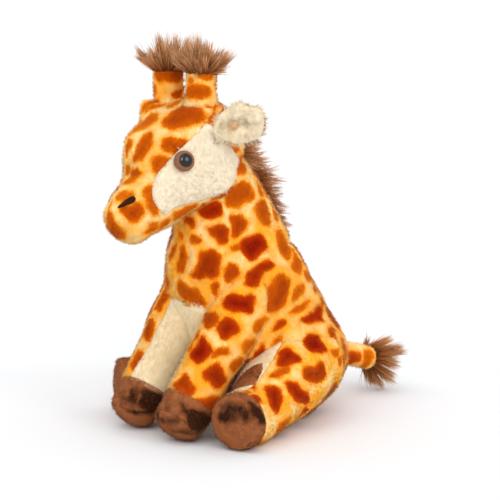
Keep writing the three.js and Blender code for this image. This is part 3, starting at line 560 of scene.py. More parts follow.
# The seen patches become outlines on the fabric that lies under them
def laySeen(sheet, seenPatches, hiddenBy):
    tree = treeOf(sheet)
    seen = []
    for dark, *corners in seenPatches:
        ray = photoRay(*np.mean(corners, axis=0))
        place, normal, _, distance = tree.ray_cast(*ray)
        if place is None or isCovered(ray, distance - patchLook["overlap"], hiddenBy):
            continue
        spots = []
        for corner in corners:
            start, aim = photoRay(*corner)
            hit, _, _, away = tree.ray_cast(start, aim)
            missed = hit is None or abs(away - distance) > patchLook["overlap"]
            spots.append(np.array(start + aim * distance) if missed else np.array(hit))
        place, normal = np.array(place), np.array(normal)
        first = unit(np.cross(normal, axisZ + 0.1 * axisX))
        plane = np.stack([first, np.cross(normal, first)], 1)
        spots = (np.array(spots) - place) @ plane
        step = (np.roll(spots, -1, axis=0) - spots) * patchLook["corner"]
        rounded = np.stack([spots + step, np.roll(spots, -1, axis=0) - step], 1).reshape(-1, 2)
        reach = np.linalg.norm(spots, axis=1).max() + patchLook["margin"]
        seen.append((place, plane, outlineMeasure(rounded, [0, 1]), reach, dark))
    return seen


# What the photograph doesn't show is filled with cells between seeds
def layPatches(sheet, seenPatches, hiddenBy, seed, pale):
    seen = laySeen(sheet, seenPatches, hiddenBy)
    source = np.random.default_rng(seed)
    points = sheet["points"]
    normals = meshNormals(points, sheet["faces"])
    near, _ = seenField(points, seen)
    seeds = []
    for i in source.permutation(len(points)):
        if near[i] > -patchLook["near"] or points[i][2] < patchLook["lowest"]:
            continue
        if seeds and np.min(np.linalg.norm(np.array(seeds) - points[i], axis=1)) < patchLook["spacing"]:
            continue
        facing = normals[i] @ towardCamera > patchLook["facing"]
        start = Vector(points[i] + normals[i] * patchLook["lift"])
        if facing and not any(other.ray_cast(start, Vector(towardCamera))[0] for other in hiddenBy):
            continue
        seeds.append(points[i])
    return {"seen": seen, "seeds": seeds, "dark": source.uniform(*patchLook["cellDark"], len(seeds)),
            "pale": pale, "seams": sheet.get("seams")}


def seenField(points, seen):
    field, shade = np.full(len(points), -30.0), np.full(len(points), 0.5)
    for place, plane, measure, reach, dark in seen:
        rows = np.nonzero(np.linalg.norm(points - place, axis=1) < reach)[0]
        if not len(rows):
            continue
        inside = patchLook["grow"] - measure((points[rows] - place) @ plane)
        better = inside > field[rows]
        field[rows[better]], shade[rows[better]] = inside[better], dark
    return field, shade


# Millimetres inside the nearest printed patch, negative between patches, how dark the print is, and how pale
# the cloth is, with a painted sheen along seams and folds
def printOf(laid):
    def values(points):
        drift = np.stack([wobble(points, patchLook["wobbleSize"], k) for k in (1, 2, 3)], -1)
        moved = points + drift * patchLook["wobble"]
        field, shade = seenField(moved, laid["seen"])
        first, second = np.full(len(points), 90.0), np.full(len(points), 99.0)
        cellShade = np.zeros(len(points))
        for seed, dark in zip(laid["seeds"], laid["dark"]):
            away = np.linalg.norm(moved - seed, axis=1)
            nearer = away < first
            second = np.where(nearer, first, np.minimum(second, away))
            first, cellShade = np.where(nearer, away, first), np.where(nearer, dark, cellShade)
        cell = np.minimum((second - first) / 2 - patchLook["lane"] / 2, patchLook["largest"] - first)
        cell = np.minimum(cell, -field - patchLook["lane"])
        better = cell > field
        field, shade = np.where(better, cell, field), np.where(better, cellShade, shade)
        pale = laid["pale"](points)
        if laid["seams"] is not None:
            # along seams and folds the print stops short and the cloth is painted paler, a painted sheen
            onSeam = np.exp(-(seamDistance(points, laid["seams"]) / seamLook["width"]) ** 2)
            field, pale = field - seamLook["gap"] * onSeam, pale + seamLook["pale"] * onSeam
        return {"patch": field, "dark": shade, "pale": pale}
    return values


# How much painted shade lies on the hooves: the dark of pile that lies over and of shade that falls there
def hoofShadeOf(seen):
    def values(points):
        rub = np.full(len(points), hoofShadeLook["bare"])
        for place, plane, measure, reach, dark in seen:
            rows = np.nonzero(np.linalg.norm(points - place, axis=1) < reach)[0]
            inside = np.clip(0.5 - measure((points[rows] - place) @ plane) / hoofShadeLook["soft"], 0, 1)
            rub[rows] = np.maximum(rub[rows], hoofShadeLook["bare"] + hoofShadeLook["full"] * dark * inside)
        return {"rub": rub}
    return values


def seamDistance(points, seams):
    best = np.full(len(points), 50.0)
    for a, b in seams:
        share = np.clip((points - a) @ (b - a) / max((b - a) @ (b - a), 1e-9), 0, 1)
        best = np.minimum(best, np.linalg.norm(points - a - share[:, None] * (b - a), axis=1))
    return best


# Seams and folds are pressed into the fabric under them
def pressSeams(sheet, hiddenBy):
    tree = treeOf(sheet)
    points, normals = sheet["points"], meshNormals(sheet["points"], sheet["faces"])
    pressed, pieces = np.zeros(len(points)), []
    for depth, *line in seamLines:
        spots = []
        for across, up in curveAt(np.array(line, float), np.linspace(0, 1, seamLook["steps"])):
            ray = photoRay(across, up)
            hit, _, _, away = tree.ray_cast(*ray)
            shown = hit is not None and not isCovered(ray, away - seamLook["behind"], hiddenBy)
            spots.append(np.array(hit) if shown else None)
        runs = [(a, b) for a, b in zip(spots, spots[1:]) if a is not None and b is not None]
        if runs:
            near = seamDistance(points, runs)
            pressed = np.maximum(pressed, depth * np.exp(-(near / seamLook["width"]) ** 2))
            pieces += runs
    sheet["points"] = points - normals * pressed[:, None]
    sheet["seams"] = pieces or None


# The places of each triangle's corners; where it crosses the start of the turn they run on past it
def cornerPlaces(sheet, faces):
    place = sheet["place"][faces]
    wrapped = place[..., 0].max(axis=1) - place[..., 0].min(axis=1) > 0.5
    place[..., 0] = np.where(wrapped[:, None] & (place[..., 0] < 0.5), place[..., 0] + 1, place[..., 0])
    return place


# Pile: each hair is a slim closed spike that leans the way the fabric is combed, in small locks
pileLook = {
    "lock": 1.2, "tangle": 0.09, "hair": 0.2, "leanSpread": 9, "hairStray": 0.13, "hairJitter": 0.2,
    "hairRoot": 0.25, "hairLengths": (0.75, 1.2), "hairLowest": 1.2, "tipLowest": 0.1, "hiddenDepth": 1.5,
    "lockShare": 0.6,
}
hairCorners = (0, 2.094, 4.189)  # a hair has three sides
lockLean, lockTone = rng.normal(0, 1, (4096, 3)), rng.random(4096)


def growPile(sheet, look, combed, hidden=None):
    look = {**pileLook, **look}
    points, faces = sheet["points"], sheet["faces"][:sheet.get("front", len(sheet["faces"]))]
    a, b, c = (points[faces[:, k]] for k in range(3))
    area = np.linalg.norm(np.cross(b - a, c - a), axis=1) / 2
    share = 1
    picked = rng.choice(len(faces), int(area.sum() * look["density"] * share), p=area / area.sum())
    u, v = rng.random((2, len(picked)))
    flip = u + v > 1
    u, v = np.where(flip, 1 - u, u), np.where(flip, 1 - v, v)
    weight = np.stack([1 - u - v, u, v], -1)
    corners = faces[picked]
    roots = np.einsum("nk,nkd->nd", weight, points[corners])
    normals = unit(np.einsum("nk,nkd->nd", weight, meshNormals(points, faces)[corners]))
    place = np.clip(np.einsum("nk,nkd->nd", weight, cornerPlaces(sheet, corners)), 0.001, 0.999)
    kept = roots[:, 2] > look["hairLowest"]
    if hidden is not None:
        kept &= hidden(roots) > -look["hiddenDepth"]
    roots, normals, place = roots[kept], normals[kept], place[kept]
    count = len(roots)
    flow = combed(roots)
    flow = unit(flow - normals * dot(flow, normals)[:, None])
    lean = np.radians(look["lean"] + rng.normal(0, look["leanSpread"], count))
    cells = np.floor((roots + rng.normal(0, look["hairJitter"], (count, 3))) / look["lock"]).astype(int)
    lock = cells @ (73856093, 19349663, 83492791) % len(lockLean)
    strays = lockLean[lock] * look["tangle"] + rng.normal(0, look["hairStray"], (count, 3))
    aim = unit(normals * np.cos(lean)[:, None] + flow * np.sin(lean)[:, None] + strays)
    length = look["pile"] * rng.uniform(*look["hairLengths"], count)
    side = unit(np.cross(aim, normals))
    up = np.cross(aim, side)
    foot = roots - normals * look["hairRoot"]
    base = [foot + (side * np.cos(k) + up * np.sin(k)) * look["hair"] for k in hairCorners]
    tips = roots + aim * length[:, None]
    tips[:, 2] = np.maximum(tips[:, 2], look["tipLowest"])
    tone = look["lockShare"] * lockTone[lock] + (1 - look["lockShare"]) * rng.random(count)
    return {"base": base, "tips": tips, "roots": roots, "place": place, "normals": normals, "tone": tone}


# One Blender object from a sheet and its pile; values are extra numbers for the material, by place
def addPiece(name, sheet, pile, material, values=None):
    points, faces = sheet["points"], sheet["faces"]
    count = len(points)
    hairs = 0 if pile is None else len(pile["roots"])
    where = [points]
    tip, tone = [np.zeros(count)], [np.full(count, 0.5)]
    allFaces, corners = [faces], [cornerPlaces(sheet, faces).reshape(-1, 2)]
    if hairs:
        where += [np.stack(pile["base"] + [pile["tips"]], 1).reshape(-1, 3)]
        tip.append(np.tile([0.0, 0, 0, 1], hairs))
        tone.append(np.repeat(pile["tone"], 4))
        start = count + 4 * np.arange(hairs)[:, None]
        spikes = np.array([[0, 1, 3], [1, 2, 3], [2, 0, 3], [0, 2, 1]])
        allFaces.append((start[:, None] + spikes).reshape(-1, 3))
        small = 0.0006 * np.array([[-1, -1], [1, -1], [0, 1]])
        corners.append((pile["place"][:, None, None] + np.tile(small, (4, 1, 1))).reshape(-1, 2))
    mesh = bpy.data.meshes.new(name)
    allPoints, allFaces = np.vstack(where), np.vstack(allFaces)
    mesh.vertices.add(len(allPoints))
    mesh.vertices.foreach_set("co", (allPoints * mm).astype(np.float32).ravel())
    mesh.loops.add(3 * len(allFaces))
    mesh.loops.foreach_set("vertex_index", allFaces.astype(np.int32).ravel())
    mesh.polygons.add(len(allFaces))
    mesh.polygons.foreach_set("loop_start", (3 * np.arange(len(allFaces))).astype(np.int32))
    mesh.polygons.foreach_set("use_smooth", np.ones(len(allFaces), bool))
    mesh.update(calc_edges=True)
    layer = mesh.uv_layers.new(name="OFBake")
    layer.data.foreach_set("uv", np.vstack(corners).astype(np.float32).ravel())
    numbers = {"tip": np.concatenate(tip), "tone": np.concatenate(tone)}
    if values:  # a hair takes the print that lies over it
        places = np.vstack([points, 0.4 * pile["roots"] + 0.6 * pile["tips"]]) if hairs else points
        numbers.update({key: np.concatenate([data[:count], np.repeat(data[count:], 4)])
                        for key, data in values(places).items()})
    for key, data in numbers.items():
        attribute = mesh.attributes.new(key, "FLOAT", "POINT")
        attribute.data.foreach_set("value", np.asarray(data, np.float32))
    if hairs:  # a hair is lit as the cloth under it is
        lit = np.vstack([meshNormals(points, faces), np.repeat(pile["normals"], 4, axis=0)])
        mesh.normals_split_custom_set_from_vertices(lit.astype(np.float32))
    piece = bpy.data.objects.new(name, mesh)
    bpy.context.scene.collection.objects.link(piece)
    mesh.materials.append(material)
    return piece


def addNode(tree, kind, settings=None, links=None):
    node = tree.nodes.new(kind)
    for key, value in (settings or {}).items():
        if key == "stops":
            while len(node.color_ramp.elements) < len(value):
                node.color_ramp.elements.new(0.5)
            for element, (position, colour) in zip(node.color_ramp.elements, value):
                element.position, element.color = position, linearColour(colour)
        elif isinstance(key, str) and hasattr(node, key):
            setattr(node, key, value)
        else:
            node.inputs[key].default_value = value
    for key, socket in (links or {}).items():
        tree.links.new(socket, node.inputs[key])
    return node


def newMaterial(name):
    material = bpy.data.materials.new(name)
    material.use_nodes = True
    tree = material.node_tree
    tree.nodes.clear()
    return material, tree


# Sockets among the parts are linked, and plain values are set
def addMixed(tree, kind, settings, parts):
    links = {key: part for key, part in parts.items() if isinstance(part, bpy.types.NodeSocket)}
    fixed = {key: part for key, part in parts.items() if key not in links}
    return addNode(tree, kind, {**settings, **fixed}, links)


def mathOf(tree, operation, *parts):
    return addMixed(tree, "ShaderNodeMath", {"operation": operation}, dict(enumerate(parts))).outputs[0]


def mixOf(tree, share, first, second, way="MIX"):
    settings = {"data_type": "RGBA", "blend_type": way}
    return addMixed(tree, "ShaderNodeMix", settings, {0: share, 6: first, 7: second}).outputs[2]


def rangeOf(tree, value, start, end, low=0, high=1):
    settings = {"From Min": start, "From Max": end, "To Min": low, "To Max": high}
    return addNode(tree, "ShaderNodeMapRange", settings, {"Value": value}).outputs[0]


def attributeOf(tree, name):
    return addNode(tree, "ShaderNodeAttribute", {"attribute_name": name}).outputs["Fac"]


# Noise over the piece, its waves so many millimetres long
def noiseOf(tree, size, detail, distortion=0):
    where = addNode(tree, "ShaderNodeTexCoord").outputs["Object"]
    settings = {"Scale": 1000 / size, "Detail": detail, "Distortion": distortion}
    return addNode(tree, "ShaderNodeTexNoise", settings, {"Vector": where}).outputs["Fac"]


def finishMaterial(tree, settings, links):
    surface = addNode(tree, "ShaderNodeBsdfPrincipled", settings, links)
    addNode(tree, "ShaderNodeOutputMaterial", {}, {"Surface": surface.outputs[0]})


# What all plush shares: fine bumps, a soft sheen, and hairs that are warmer where they are darker.
# The grain sizes are in millimetres.
plushLook = {
    "cloth": 10 / 9, "hair": 10 / 13, "hairShare": 1.1, "darkest": 0.45, "palest": 1.65, "bump": 0.2,
    "depth": 0.2, "rough": 0.9,
}


def finishPlush(tree, colour, spread, gloss, sheen, softness, tint):
    fine = noiseOf(tree, plushLook["hair"], 1)
    level = mathOf(tree, "MULTIPLY_ADD", fine, plushLook["hairShare"], attributeOf(tree, "tone"))
    low, high = [(1 + way * 0.6 * spread, 1 + way * spread, 1 + way * 1.7 * spread, 1) for way in (-1, 1)]
    shade = mixOf(tree, rangeOf(tree, level, plushLook["darkest"], plushLook["palest"]), low, high)
    bump = addNode(tree, "ShaderNodeBump", {"Strength": plushLook["bump"], "Distance": plushLook["depth"] * mm},
                   {"Height": noiseOf(tree, plushLook["cloth"], 2)}).outputs[0]
    finishMaterial(tree, {
        "Roughness": plushLook["rough"], "Specular IOR Level": gloss, "Sheen Weight": sheen,
        "Sheen Roughness": softness, "Sheen Tint": linearColour(tint),
    }, {"Base Color": mixOf(tree, 1, colour, shade, "MULTIPLY"), "Normal": bump})


# Printed velboa, a short knitted polyester plush: the print is soft at its edges because each hair carries it.
# The hair tips are painted paler, partly their own colour and partly a painted sheen, so the cloth looks paler
# where it turns away.
printLook = {
    "paleYellow": "#FFD890", "tip": "#FFE4B4", "orangeTip": "#D4580C", "mottle": 16, "fuzz": 1.1, "tipSheen": 0.4,
    "spread": 0.24, "gloss": 0.06, "sheen": 0.3, "softness": 0.3, "tint": "#FFD490", "ink": (-4, 6),
    "ground": (0.5, 0.8), "clear": (-0.2, -2.2), "paleShare": 0.4,
    "dark": [(0, "#FFB02A"), (0.31, "#FFA41C"), (0.38, "#EE860C"), (0.44, "#CE5202"), (0.52, "#B03000"),
             (0.9, "#881200")],
    "light": [(0, "#FFB02A"), (0.32, "#FFA824"), (0.41, "#F0900E"), (0.50, "#E67C06"), (0.9, "#DC6A04")],
}


def makePrintedPlush():
    material, tree = newMaterial("printedPlush")
    fuzz = mathOf(tree, "MULTIPLY_ADD", noiseOf(tree, plushLook["cloth"], 2),
                  2 * printLook["fuzz"], -printLook["fuzz"])
    field = mathOf(tree, "ADD", attributeOf(tree, "patch"), fuzz)
    ramp = rangeOf(tree, field, *printLook["ink"])
    deep, orange = (addNode(tree, "ShaderNodeValToRGB", {"stops": printLook[kind]}, {"Fac": ramp}).outputs[0]
                    for kind in ("dark", "light"))
    inked = mixOf(tree, attributeOf(tree, "dark"), orange, deep)
    mottle = noiseOf(tree, printLook["mottle"], 2)
    drift = mathOf(tree, "MULTIPLY_ADD", attributeOf(tree, "pale"), printLook["paleShare"], mottle)
    clear = rangeOf(tree, field, *printLook["clear"])
    paling = mathOf(tree, "MULTIPLY", rangeOf(tree, drift, *printLook["ground"]), clear)
    # the print's ground, painted paler with sheen along seams and folds
    printAndSheen = mixOf(tree, paling, inked, linearColour(printLook["paleYellow"]))
    # hair tips painted paler: partly their own colour, partly a painted sheen
    tipSheenColour = mixOf(tree, clear, linearColour(printLook["orangeTip"]), linearColour(printLook["tip"]))
    tipSheenShare = mathOf(tree, "MULTIPLY", attributeOf(tree, "tip"), printLook["tipSheen"])
    finish = [printLook[key] for key in ("spread", "gloss", "sheen", "softness", "tint")]
    finishPlush(tree, mixOf(tree, tipSheenShare, printAndSheen, tipSheenColour), *finish)
    return material


# Plain dyed plush: brushed to and fro, so it shows light and dark streaks where the pile lies over; a piece's
# painted shade is laid on in the same dark colour
plainLook = {"swirl": 0.6, "streakShare": 0.6, "over": (0.25, 0.55), "tipSheen": 0.3, "gloss": 0.08, "sheen": 0.15,
             "softness": 0.45}


def makePlainPlush(name, colour, napAndShade, tipColour, streak, amount, spread=0.1):
    material, tree = newMaterial(name)
    streaks = noiseOf(tree, streak, 3, plainLook["swirl"])
    mixed = mathOf(tree, "MULTIPLY_ADD", streaks, plainLook["streakShare"], attributeOf(tree, "rub"))
    over = rangeOf(tree, mixed, *plainLook["over"], 0, amount)
    base = mixOf(tree, over, linearColour(colour), linearColour(napAndShade))
    # hair tips painted paler: partly their own colour, partly a painted sheen
    tipSheenShare = mathOf(tree, "MULTIPLY", attributeOf(tree, "tip"), plainLook["tipSheen"])
    tipped = mixOf(tree, tipSheenShare, base, linearColour(tipColour))
    finishPlush(tree, tipped, spread, plainLook["gloss"], plainLook["sheen"], plainLook["softness"], tipColour)
    return material


# Brushed acrylic yarn: dull fibres, darker towards the root as painted shade where they are packed, and pale at
# the frayed tips
yarnLook = {
    "stops": [(0, "#62300F"), (0.22, "#A5622F"), (0.55, "#CF8F58"), (1, "#E6B486")],
    "shades": (0.5, 1.3), "rough": 0.8, "gloss": 0.1, "sheen": 0.12, "tint": "#E0B090",
}


def makeYarn():
    material, tree = newMaterial("brushedAcrylicYarn")
    along = addNode(tree, "ShaderNodeValToRGB", {"stops": yarnLook["stops"]},
                    {"Fac": attributeOf(tree, "tip")}).outputs[0]
    shade = rangeOf(tree, attributeOf(tree, "tone"), 0, 1, *yarnLook["shades"])
    finishMaterial(tree, {
        "Roughness": yarnLook["rough"], "Specular IOR Level": yarnLook["gloss"],
        "Sheen Weight": yarnLook["sheen"], "Sheen Tint": linearColour(yarnLook["tint"]),
    }, {"Base Color": mixOf(tree, 1, along, shade, "MULTIPLY")})
    return material


# Moulded plastic: a plain body colour under a clear gloss
def makePlastic(name, colour, roughness, shine=0.5, fleck=0.0, fleckSize=10 / 6):
    material, tree = newMaterial(name)
    shade = rangeOf(tree, noiseOf(tree, fleckSize, 3), 0, 1, 1 - fleck, 1 + fleck)
    finishMaterial(tree, {"Roughness": roughness, "IOR": 1.49, "Specular IOR Level": shine},
                   {"Base Color": mixOf(tree, 1, linearColour(colour), shade, "MULTIPLY")})
    return material


printedPlush = makePrintedPlush()
creamPlush = makePlainPlush("creamVelboa", "#F6E5C8", "#EFDBB6", "#FAEFDA", 9, 0.5, 0.04)
tanPlush = makePlainPlush("creamVelboaInner", "#F3DEB6", "#E3C89A", "#FBECCF", 12, 0.8, 0.06)
# its tan is the painted shade in the ear's fold and hollow
creamFur = makePlainPlush("creamLongPile", "#F5E3C2", "#E0AC6E", "#F9ECD2", 5, 0.8, 0.09)
# the brown velboa's dark colour serves both its nap streaks and the painted shade on the hooves
brownPlush = makePlainPlush("brownVelboa", "#9C5C36", "#240A02", "#BA805A", 9, 0.95, 0.3)
darkFabric = makePlainPlush("darkBrownVelour", "#3A1E14", "#1C0C06", "#5A3626", 2, 0.8)
yarn = makeYarn()
irisPlastic = makePlastic("mouldedBrownPlastic", "#86583C", 0.4, 0.2, 0.14)
pupilPlastic = makePlastic("mouldedBlackPlastic", "#0A0606", 0.06, 0.5, 0.05)
washerPlastic = makePlastic("mouldedNylon", "#E8E6E0", 0.5, 0.5, 0.04)
pelletPlastic = makePlastic("mouldedPolyethylene", "#DCDCD8", 0.45, 0.5, 0.06)
print("materials made")

# Sheets of the larger forms, inset by the pile's standing height
inset = 1.2
flatness = 0.25


def soften(sheet, amount, size, seed):
    normals = meshNormals(sheet["points"], sheet["faces"])
    sheet["points"] = sheet["points"] + normals * (wobble(sheet["points"], size, seed) * amount)[:, None]
    sheet["points"][:, 2] = np.maximum(sheet["points"][:, 2], flatness)
    return sheet


bodySheet = soften(formSheet(bodyForm, bodyLook["cell"], inset), 0.6, 14, 5)
headSheet = soften(formSheet(headForm, headLook["cell"], inset), 0.4, 12, 6)
legLooks = {"front": frontLegLook, "hind": hindLegLook}
legForms = {(kind, hand): legForm(look, hand) for kind, look in legLooks.items() for hand in hands}
legSheets = {key: soften(formSheet(form, legLooks[key[0]]["cell"], inset), 0.5, 11, 7)
             for key, form in legForms.items()}

eyeLook = {
    "radius": 6, "dome": 3.4, "lift": -0.7, "brim": 0.2, "shank": 2, "stem": 9, "share": 0.44, "turn": 24,
    "pupil": 4.1, "groove": 0.22, "sides": 64, "socket": 1.2, "socketReach": 9,
    "sunk": {"Left": 0, "Right": 1.8},
}


# Where an eye sits on the head, and the way that it faces
def eyePlace(side):
    at, _, across, deep, half = (row[0] for row in headForm.section(eyeLook["share"]))
    turn = np.radians(eyeLook["turn"] if side > 0 else 180 - eyeLook["turn"])
    place = at + across * half[0] * np.cos(turn) + deep * half[1] * np.sin(turn)
    return place, unit(across * np.cos(turn) / half[0] + deep * np.sin(turn) / half[1])


# Where two stuffed forms are sewn together, the cloth bridges the corner between them
def bridge(sheet, other, reach, side=0):
    points, normals = sheet["points"], meshNormals(sheet["points"], sheet["faces"])
    lift = np.maximum(reach - np.abs(other.outside(points)), 0) ** 2 / (4 * reach)
    if side:  # only on the outer side
        lift *= np.clip(1.8 * side * normals[:, 0] - 0.3, 0, 1)
    sheet["points"] = points + normals * lift[:, None]
    sheet["points"][:, 2] = np.maximum(sheet["points"][:, 2], flatness)


bridgeLook = {"front": 14, "hind": 7, "horn": 7, "tail": 5, "legShare": 0.7}
for (kind, hand), form in legForms.items():
    bridge(bodySheet, form, bridgeLook[kind], hands[hand])
    bridge(legSheets[kind, hand], bodyForm, bridgeLook[kind] * bridgeLook["legShare"], hands[hand])

# The crown is stuffed full round the foot of each horn
crownLook = {"height": 192, "reach": 21, "edge": 9, "from": 156, "rise": 16, "lift": 12}
for side in hands.values():
    points = headSheet["points"]
    away = np.hypot(points[:, 0] - side * hornLook["apart"] / 2, points[:, 1] - hornLook["back"])
    near = eased(np.clip((crownLook["reach"] - away) / crownLook["edge"], 0, 1))
    near = near * np.clip((points[:, 2] - crownLook["from"]) / crownLook["rise"], 0, 1)
    points[:, 2] += near * np.clip(crownLook["height"] - points[:, 2], 0, crownLook["lift"])
for side in hands.values():
    bridge(headSheet, hornForm(side), bridgeLook["horn"])

# Lumps and hollows of the head's stuffing: place, way, lift and reach
headLumps = [
    ((18.7, -55, 148), (0.72, 0.35, -0.6), 8, 12), ((-18.7, -55, 148), (-0.72, 0.35, -0.6), 8, 12),
    ((-11.5, -96.5, 174), (-0.5, -0.75, 0.4), 3.2, 13), ((-5, -105, 156), (-0.35, -0.85, 0.4), -4, 10),
    ((-21, -77, 192), (-0.45, -0.6, 0.65), 4, 8),
]
for at, way, lift, reach in headLumps:
    away = np.linalg.norm(headSheet["points"] - at, axis=1)
    headSheet["points"] += unit(np.array(way)) * (lift * np.exp(-(away / reach) ** 2))[:, None]

# The back is stuffed fuller between the neck and the hips: heights and lifts
backLook = {
    "height": (66, 75, 84, 93, 103, 117, 127, 133, 141, 152, 163),
    "lift": (0, 2, 6, 8.6, 9.6, 8.8, 7.2, 5.8, 4.6, 2.6, 0),
}


def backLift(height):
    return np.interp(height, backLook["height"], backLook["lift"])


normals = meshNormals(bodySheet["points"], bodySheet["faces"])
share = eased(np.clip((normals[:, 1] + 0.1) / 0.75, 0, 1))
bodySheet["points"] += normals * (1, 1, 0) * (share * backLift(bodySheet["points"][:, 2]))[:, None]
trees = {key: treeOf(sheet) for key, sheet in {"body": bodySheet, "head": headSheet, **legSheets}.items()}
for side in hands.values():  # each eye is pulled down into the stuffing
    at, out = eyePlace(side)
    away = np.linalg.norm(headSheet["points"] - at, axis=1)
    headSheet["points"] -= out * (eyeLook["socket"] * np.exp(-(away / eyeLook["socketReach"]) ** 2))[:, None]
for key, sheet in {"body": bodySheet, **legSheets}.items():
    pressSeams(sheet, [tree for other, tree in trees.items() if other != key])
print("forms made")


panelLook = {
    "topHalf": 15, "midHalf": 27, "lowHalf": 24, "top": 77, "mid": 54, "low": 37, "bottom": -30,
    "rear": 8, "seatRear": 26,
}
bellyOutline = outlineMeasure([
    (-panelLook["lowHalf"], panelLook["low"]), (panelLook["lowHalf"], panelLook["low"]),
    (panelLook["midHalf"], panelLook["mid"]), (panelLook["topHalf"], panelLook["top"]),
    (-panelLook["topHalf"], panelLook["top"]), (-panelLook["midHalf"], panelLook["mid"])], [0, 2])
seatOutline = outlineMeasure([
    (-panelLook["lowHalf"], panelLook["bottom"]), (panelLook["lowHalf"], panelLook["bottom"]),
    (panelLook["lowHalf"], panelLook["low"]), (-panelLook["lowHalf"], panelLook["low"])], [0, 2])
cheekLook = {
    "corners": [
        (208, 123), (217, 131), (228, 143), (236, 154), (238, 166), (231, 187), (214, 197), (194, 203),
        (175, 208), (166, 215), (158, 208), (152, 196), (155, 177), (167, 163), (178, 152), (188, 142),
        (199, 131)],
    "inner": 12,
}


def closedCurve(points, count):
    ring = np.array([points[-2], points[-1], *points, points[0], points[1]], float)
    share = (np.arange(count) / count * len(points) + 2) / (len(ring) - 1)
    return curveAt(ring, share)


cheekMiddle = np.mean(cheekLook["corners"], axis=0)
cheekHits = []
for corner in cheekLook["corners"]:  # a corner beyond the outline moves in until it meets the head
    shares = [hit for hit in (trees["head"].ray_cast(*photoRay(*(corner + (cheekMiddle - corner) * k / 40)))[0]
                              for k in range(20)) if hit is not None]
    cheekHits.append(shares[0])
cheekCurve = closedCurve([(hit[1], hit[2]) for hit in cheekHits], 90)
cheekOutline = outlineMeasure(cheekCurve, [1, 2])


def inBelly(points):
    return np.maximum(bellyOutline(points), points[:, 1] - panelLook["rear"])


def inSeat(points):
    return np.maximum(seatOutline(points), points[:, 1] - panelLook["seatRear"])


def inCheek(side):
    return lambda points: np.maximum(cheekOutline(points), cheekLook["inner"] - side * points[:, 0])


def downward(points):
    return np.tile(-axisZ, (len(points), 1))


def backward(points):
    return np.tile([0, 1, -0.35], (len(points), 1))


def plainValues(measure=None):
    return lambda points: {"rub": measure(points) if measure else np.zeros(len(points))}


def finishPiece(piece, slot, body=None, replaces=(), blend=None, fill=None):
    if blend:
        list(blend[:2])
        tuple(np.array(blend[2]) * mm)
        tuple(np.array(blend[3]) * mm)
        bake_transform(piece)
    else:
        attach(piece, body)
    if replaces:
        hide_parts(*replaces)
    return piece


# Body and neck
def skinOfBody(points):
    away = np.maximum(-inBelly(points), -inSeat(points))
    return np.maximum(away, -headForm.outside(points) - 6)


torsoSkin = hemSheet(cutSheet(bodySheet, skinOfBody, bodyLook["cell"]))
limbTrees = [tree for key, tree in trees.items() if key not in ("body", "head")]
laid = layPatches(bodySheet, bodyPatches, limbTrees, 31,
                  lambda p: np.clip((p[:, 2] - 95) / 60, 0, 1) * 0.4 + 0.2)
limbs = [headForm, *legForms.values()]
neckJoin = ("torso", "neck", (0, -36, 104), (0, -46, 148))


def clearOf(*forms):
    return lambda points: np.min([form.outside(points) for form in forms], axis=0)


pile = growPile(torsoSkin, bodyLook, downward, clearOf(*limbs))
bodySkin = addPiece("bodySkin", torsoSkin, pile, printedPlush, printOf(laid))
finishPiece(bodySkin, "spotted_plush", replaces=("body_skin", "neck_skin", "body_filling", "neck_filling"),
            blend=neckJoin, fill=bodyLook["fill"])
bellyLook = {**bodyLook, "pile": 1.0, "lean": 68, "density": 1.5}
for name, measure, look, material, slotName in (
        ("belly", inBelly, bellyLook, tanPlush, "cream_plush"),
        ("seat", inSeat, bodyLook, brownPlush, "brown_plush")):
    panel = hemSheet(cutSheet(bodySheet, measure, bodyLook["cell"]))
    pile = growPile(panel, look, downward, clearOf(*limbs))
    piece = addPiece(f"{name}Panel", panel, pile, material, plainValues())
    finishPiece(piece, slotName, "torso", (f"{name}_panel",), fill=bodyLook["fill"])
print("body made")

# Head
inCheeks = [inCheek(1), inCheek(-1)]
headSkinSheet = hemSheet(cutSheet(headSheet, lambda p: np.max([-measure(p) for measure in inCheeks], axis=0),
                                  headLook["cell"]))
laid = layPatches(headSheet, headPatches, [], 32, lambda p: np.full(len(p), 0.65))
pile = growPile(headSkinSheet, headLook, backward)
headSkin = addPiece("headSkin", headSkinSheet, pile, printedPlush, printOf(laid))
finishPiece(headSkin, "spotted_plush", "head", ("head_skin", "head_filling"), fill=headLook["fill"])
for hand, side in hands.items():
    patch = hemSheet(cutSheet(headSheet, inCheek(side), headLook["cell"]))
    pile = growPile(patch, {**headLook, "pile": 1.6, "density": 1.7, "tangle": 0.04}, backward)
    piece = addPiece(f"cheekPatch{hand}", patch, pile, creamPlush, plainValues())
    finishPiece(piece, "cream_plush", "head", (f"cheek_patch_{hand.lower()}",), fill=headLook["fill"])
print("head made")


# A turned profile about an axis, from distances along it and radii
def turnProfile(profile, at, out, sides):
    first = unit(np.cross(out, axisZ + 0.01))
    second = np.cross(out, first)
    turn = np.arange(sides) / sides * 2 * np.pi
    ring = np.cos(turn)[:, None] * first + np.sin(turn)[:, None] * second
    rows = np.array([at + out * up + ring * reach for up, reach in profile])
    count = len(profile)
    points = np.vstack([rows.reshape(-1, 3), at + out * profile[0][0], at + out * profile[-1][0]])
    return {"points": points, **dict(zip(("faces", "place"), tubeFaces(count, sides)))}


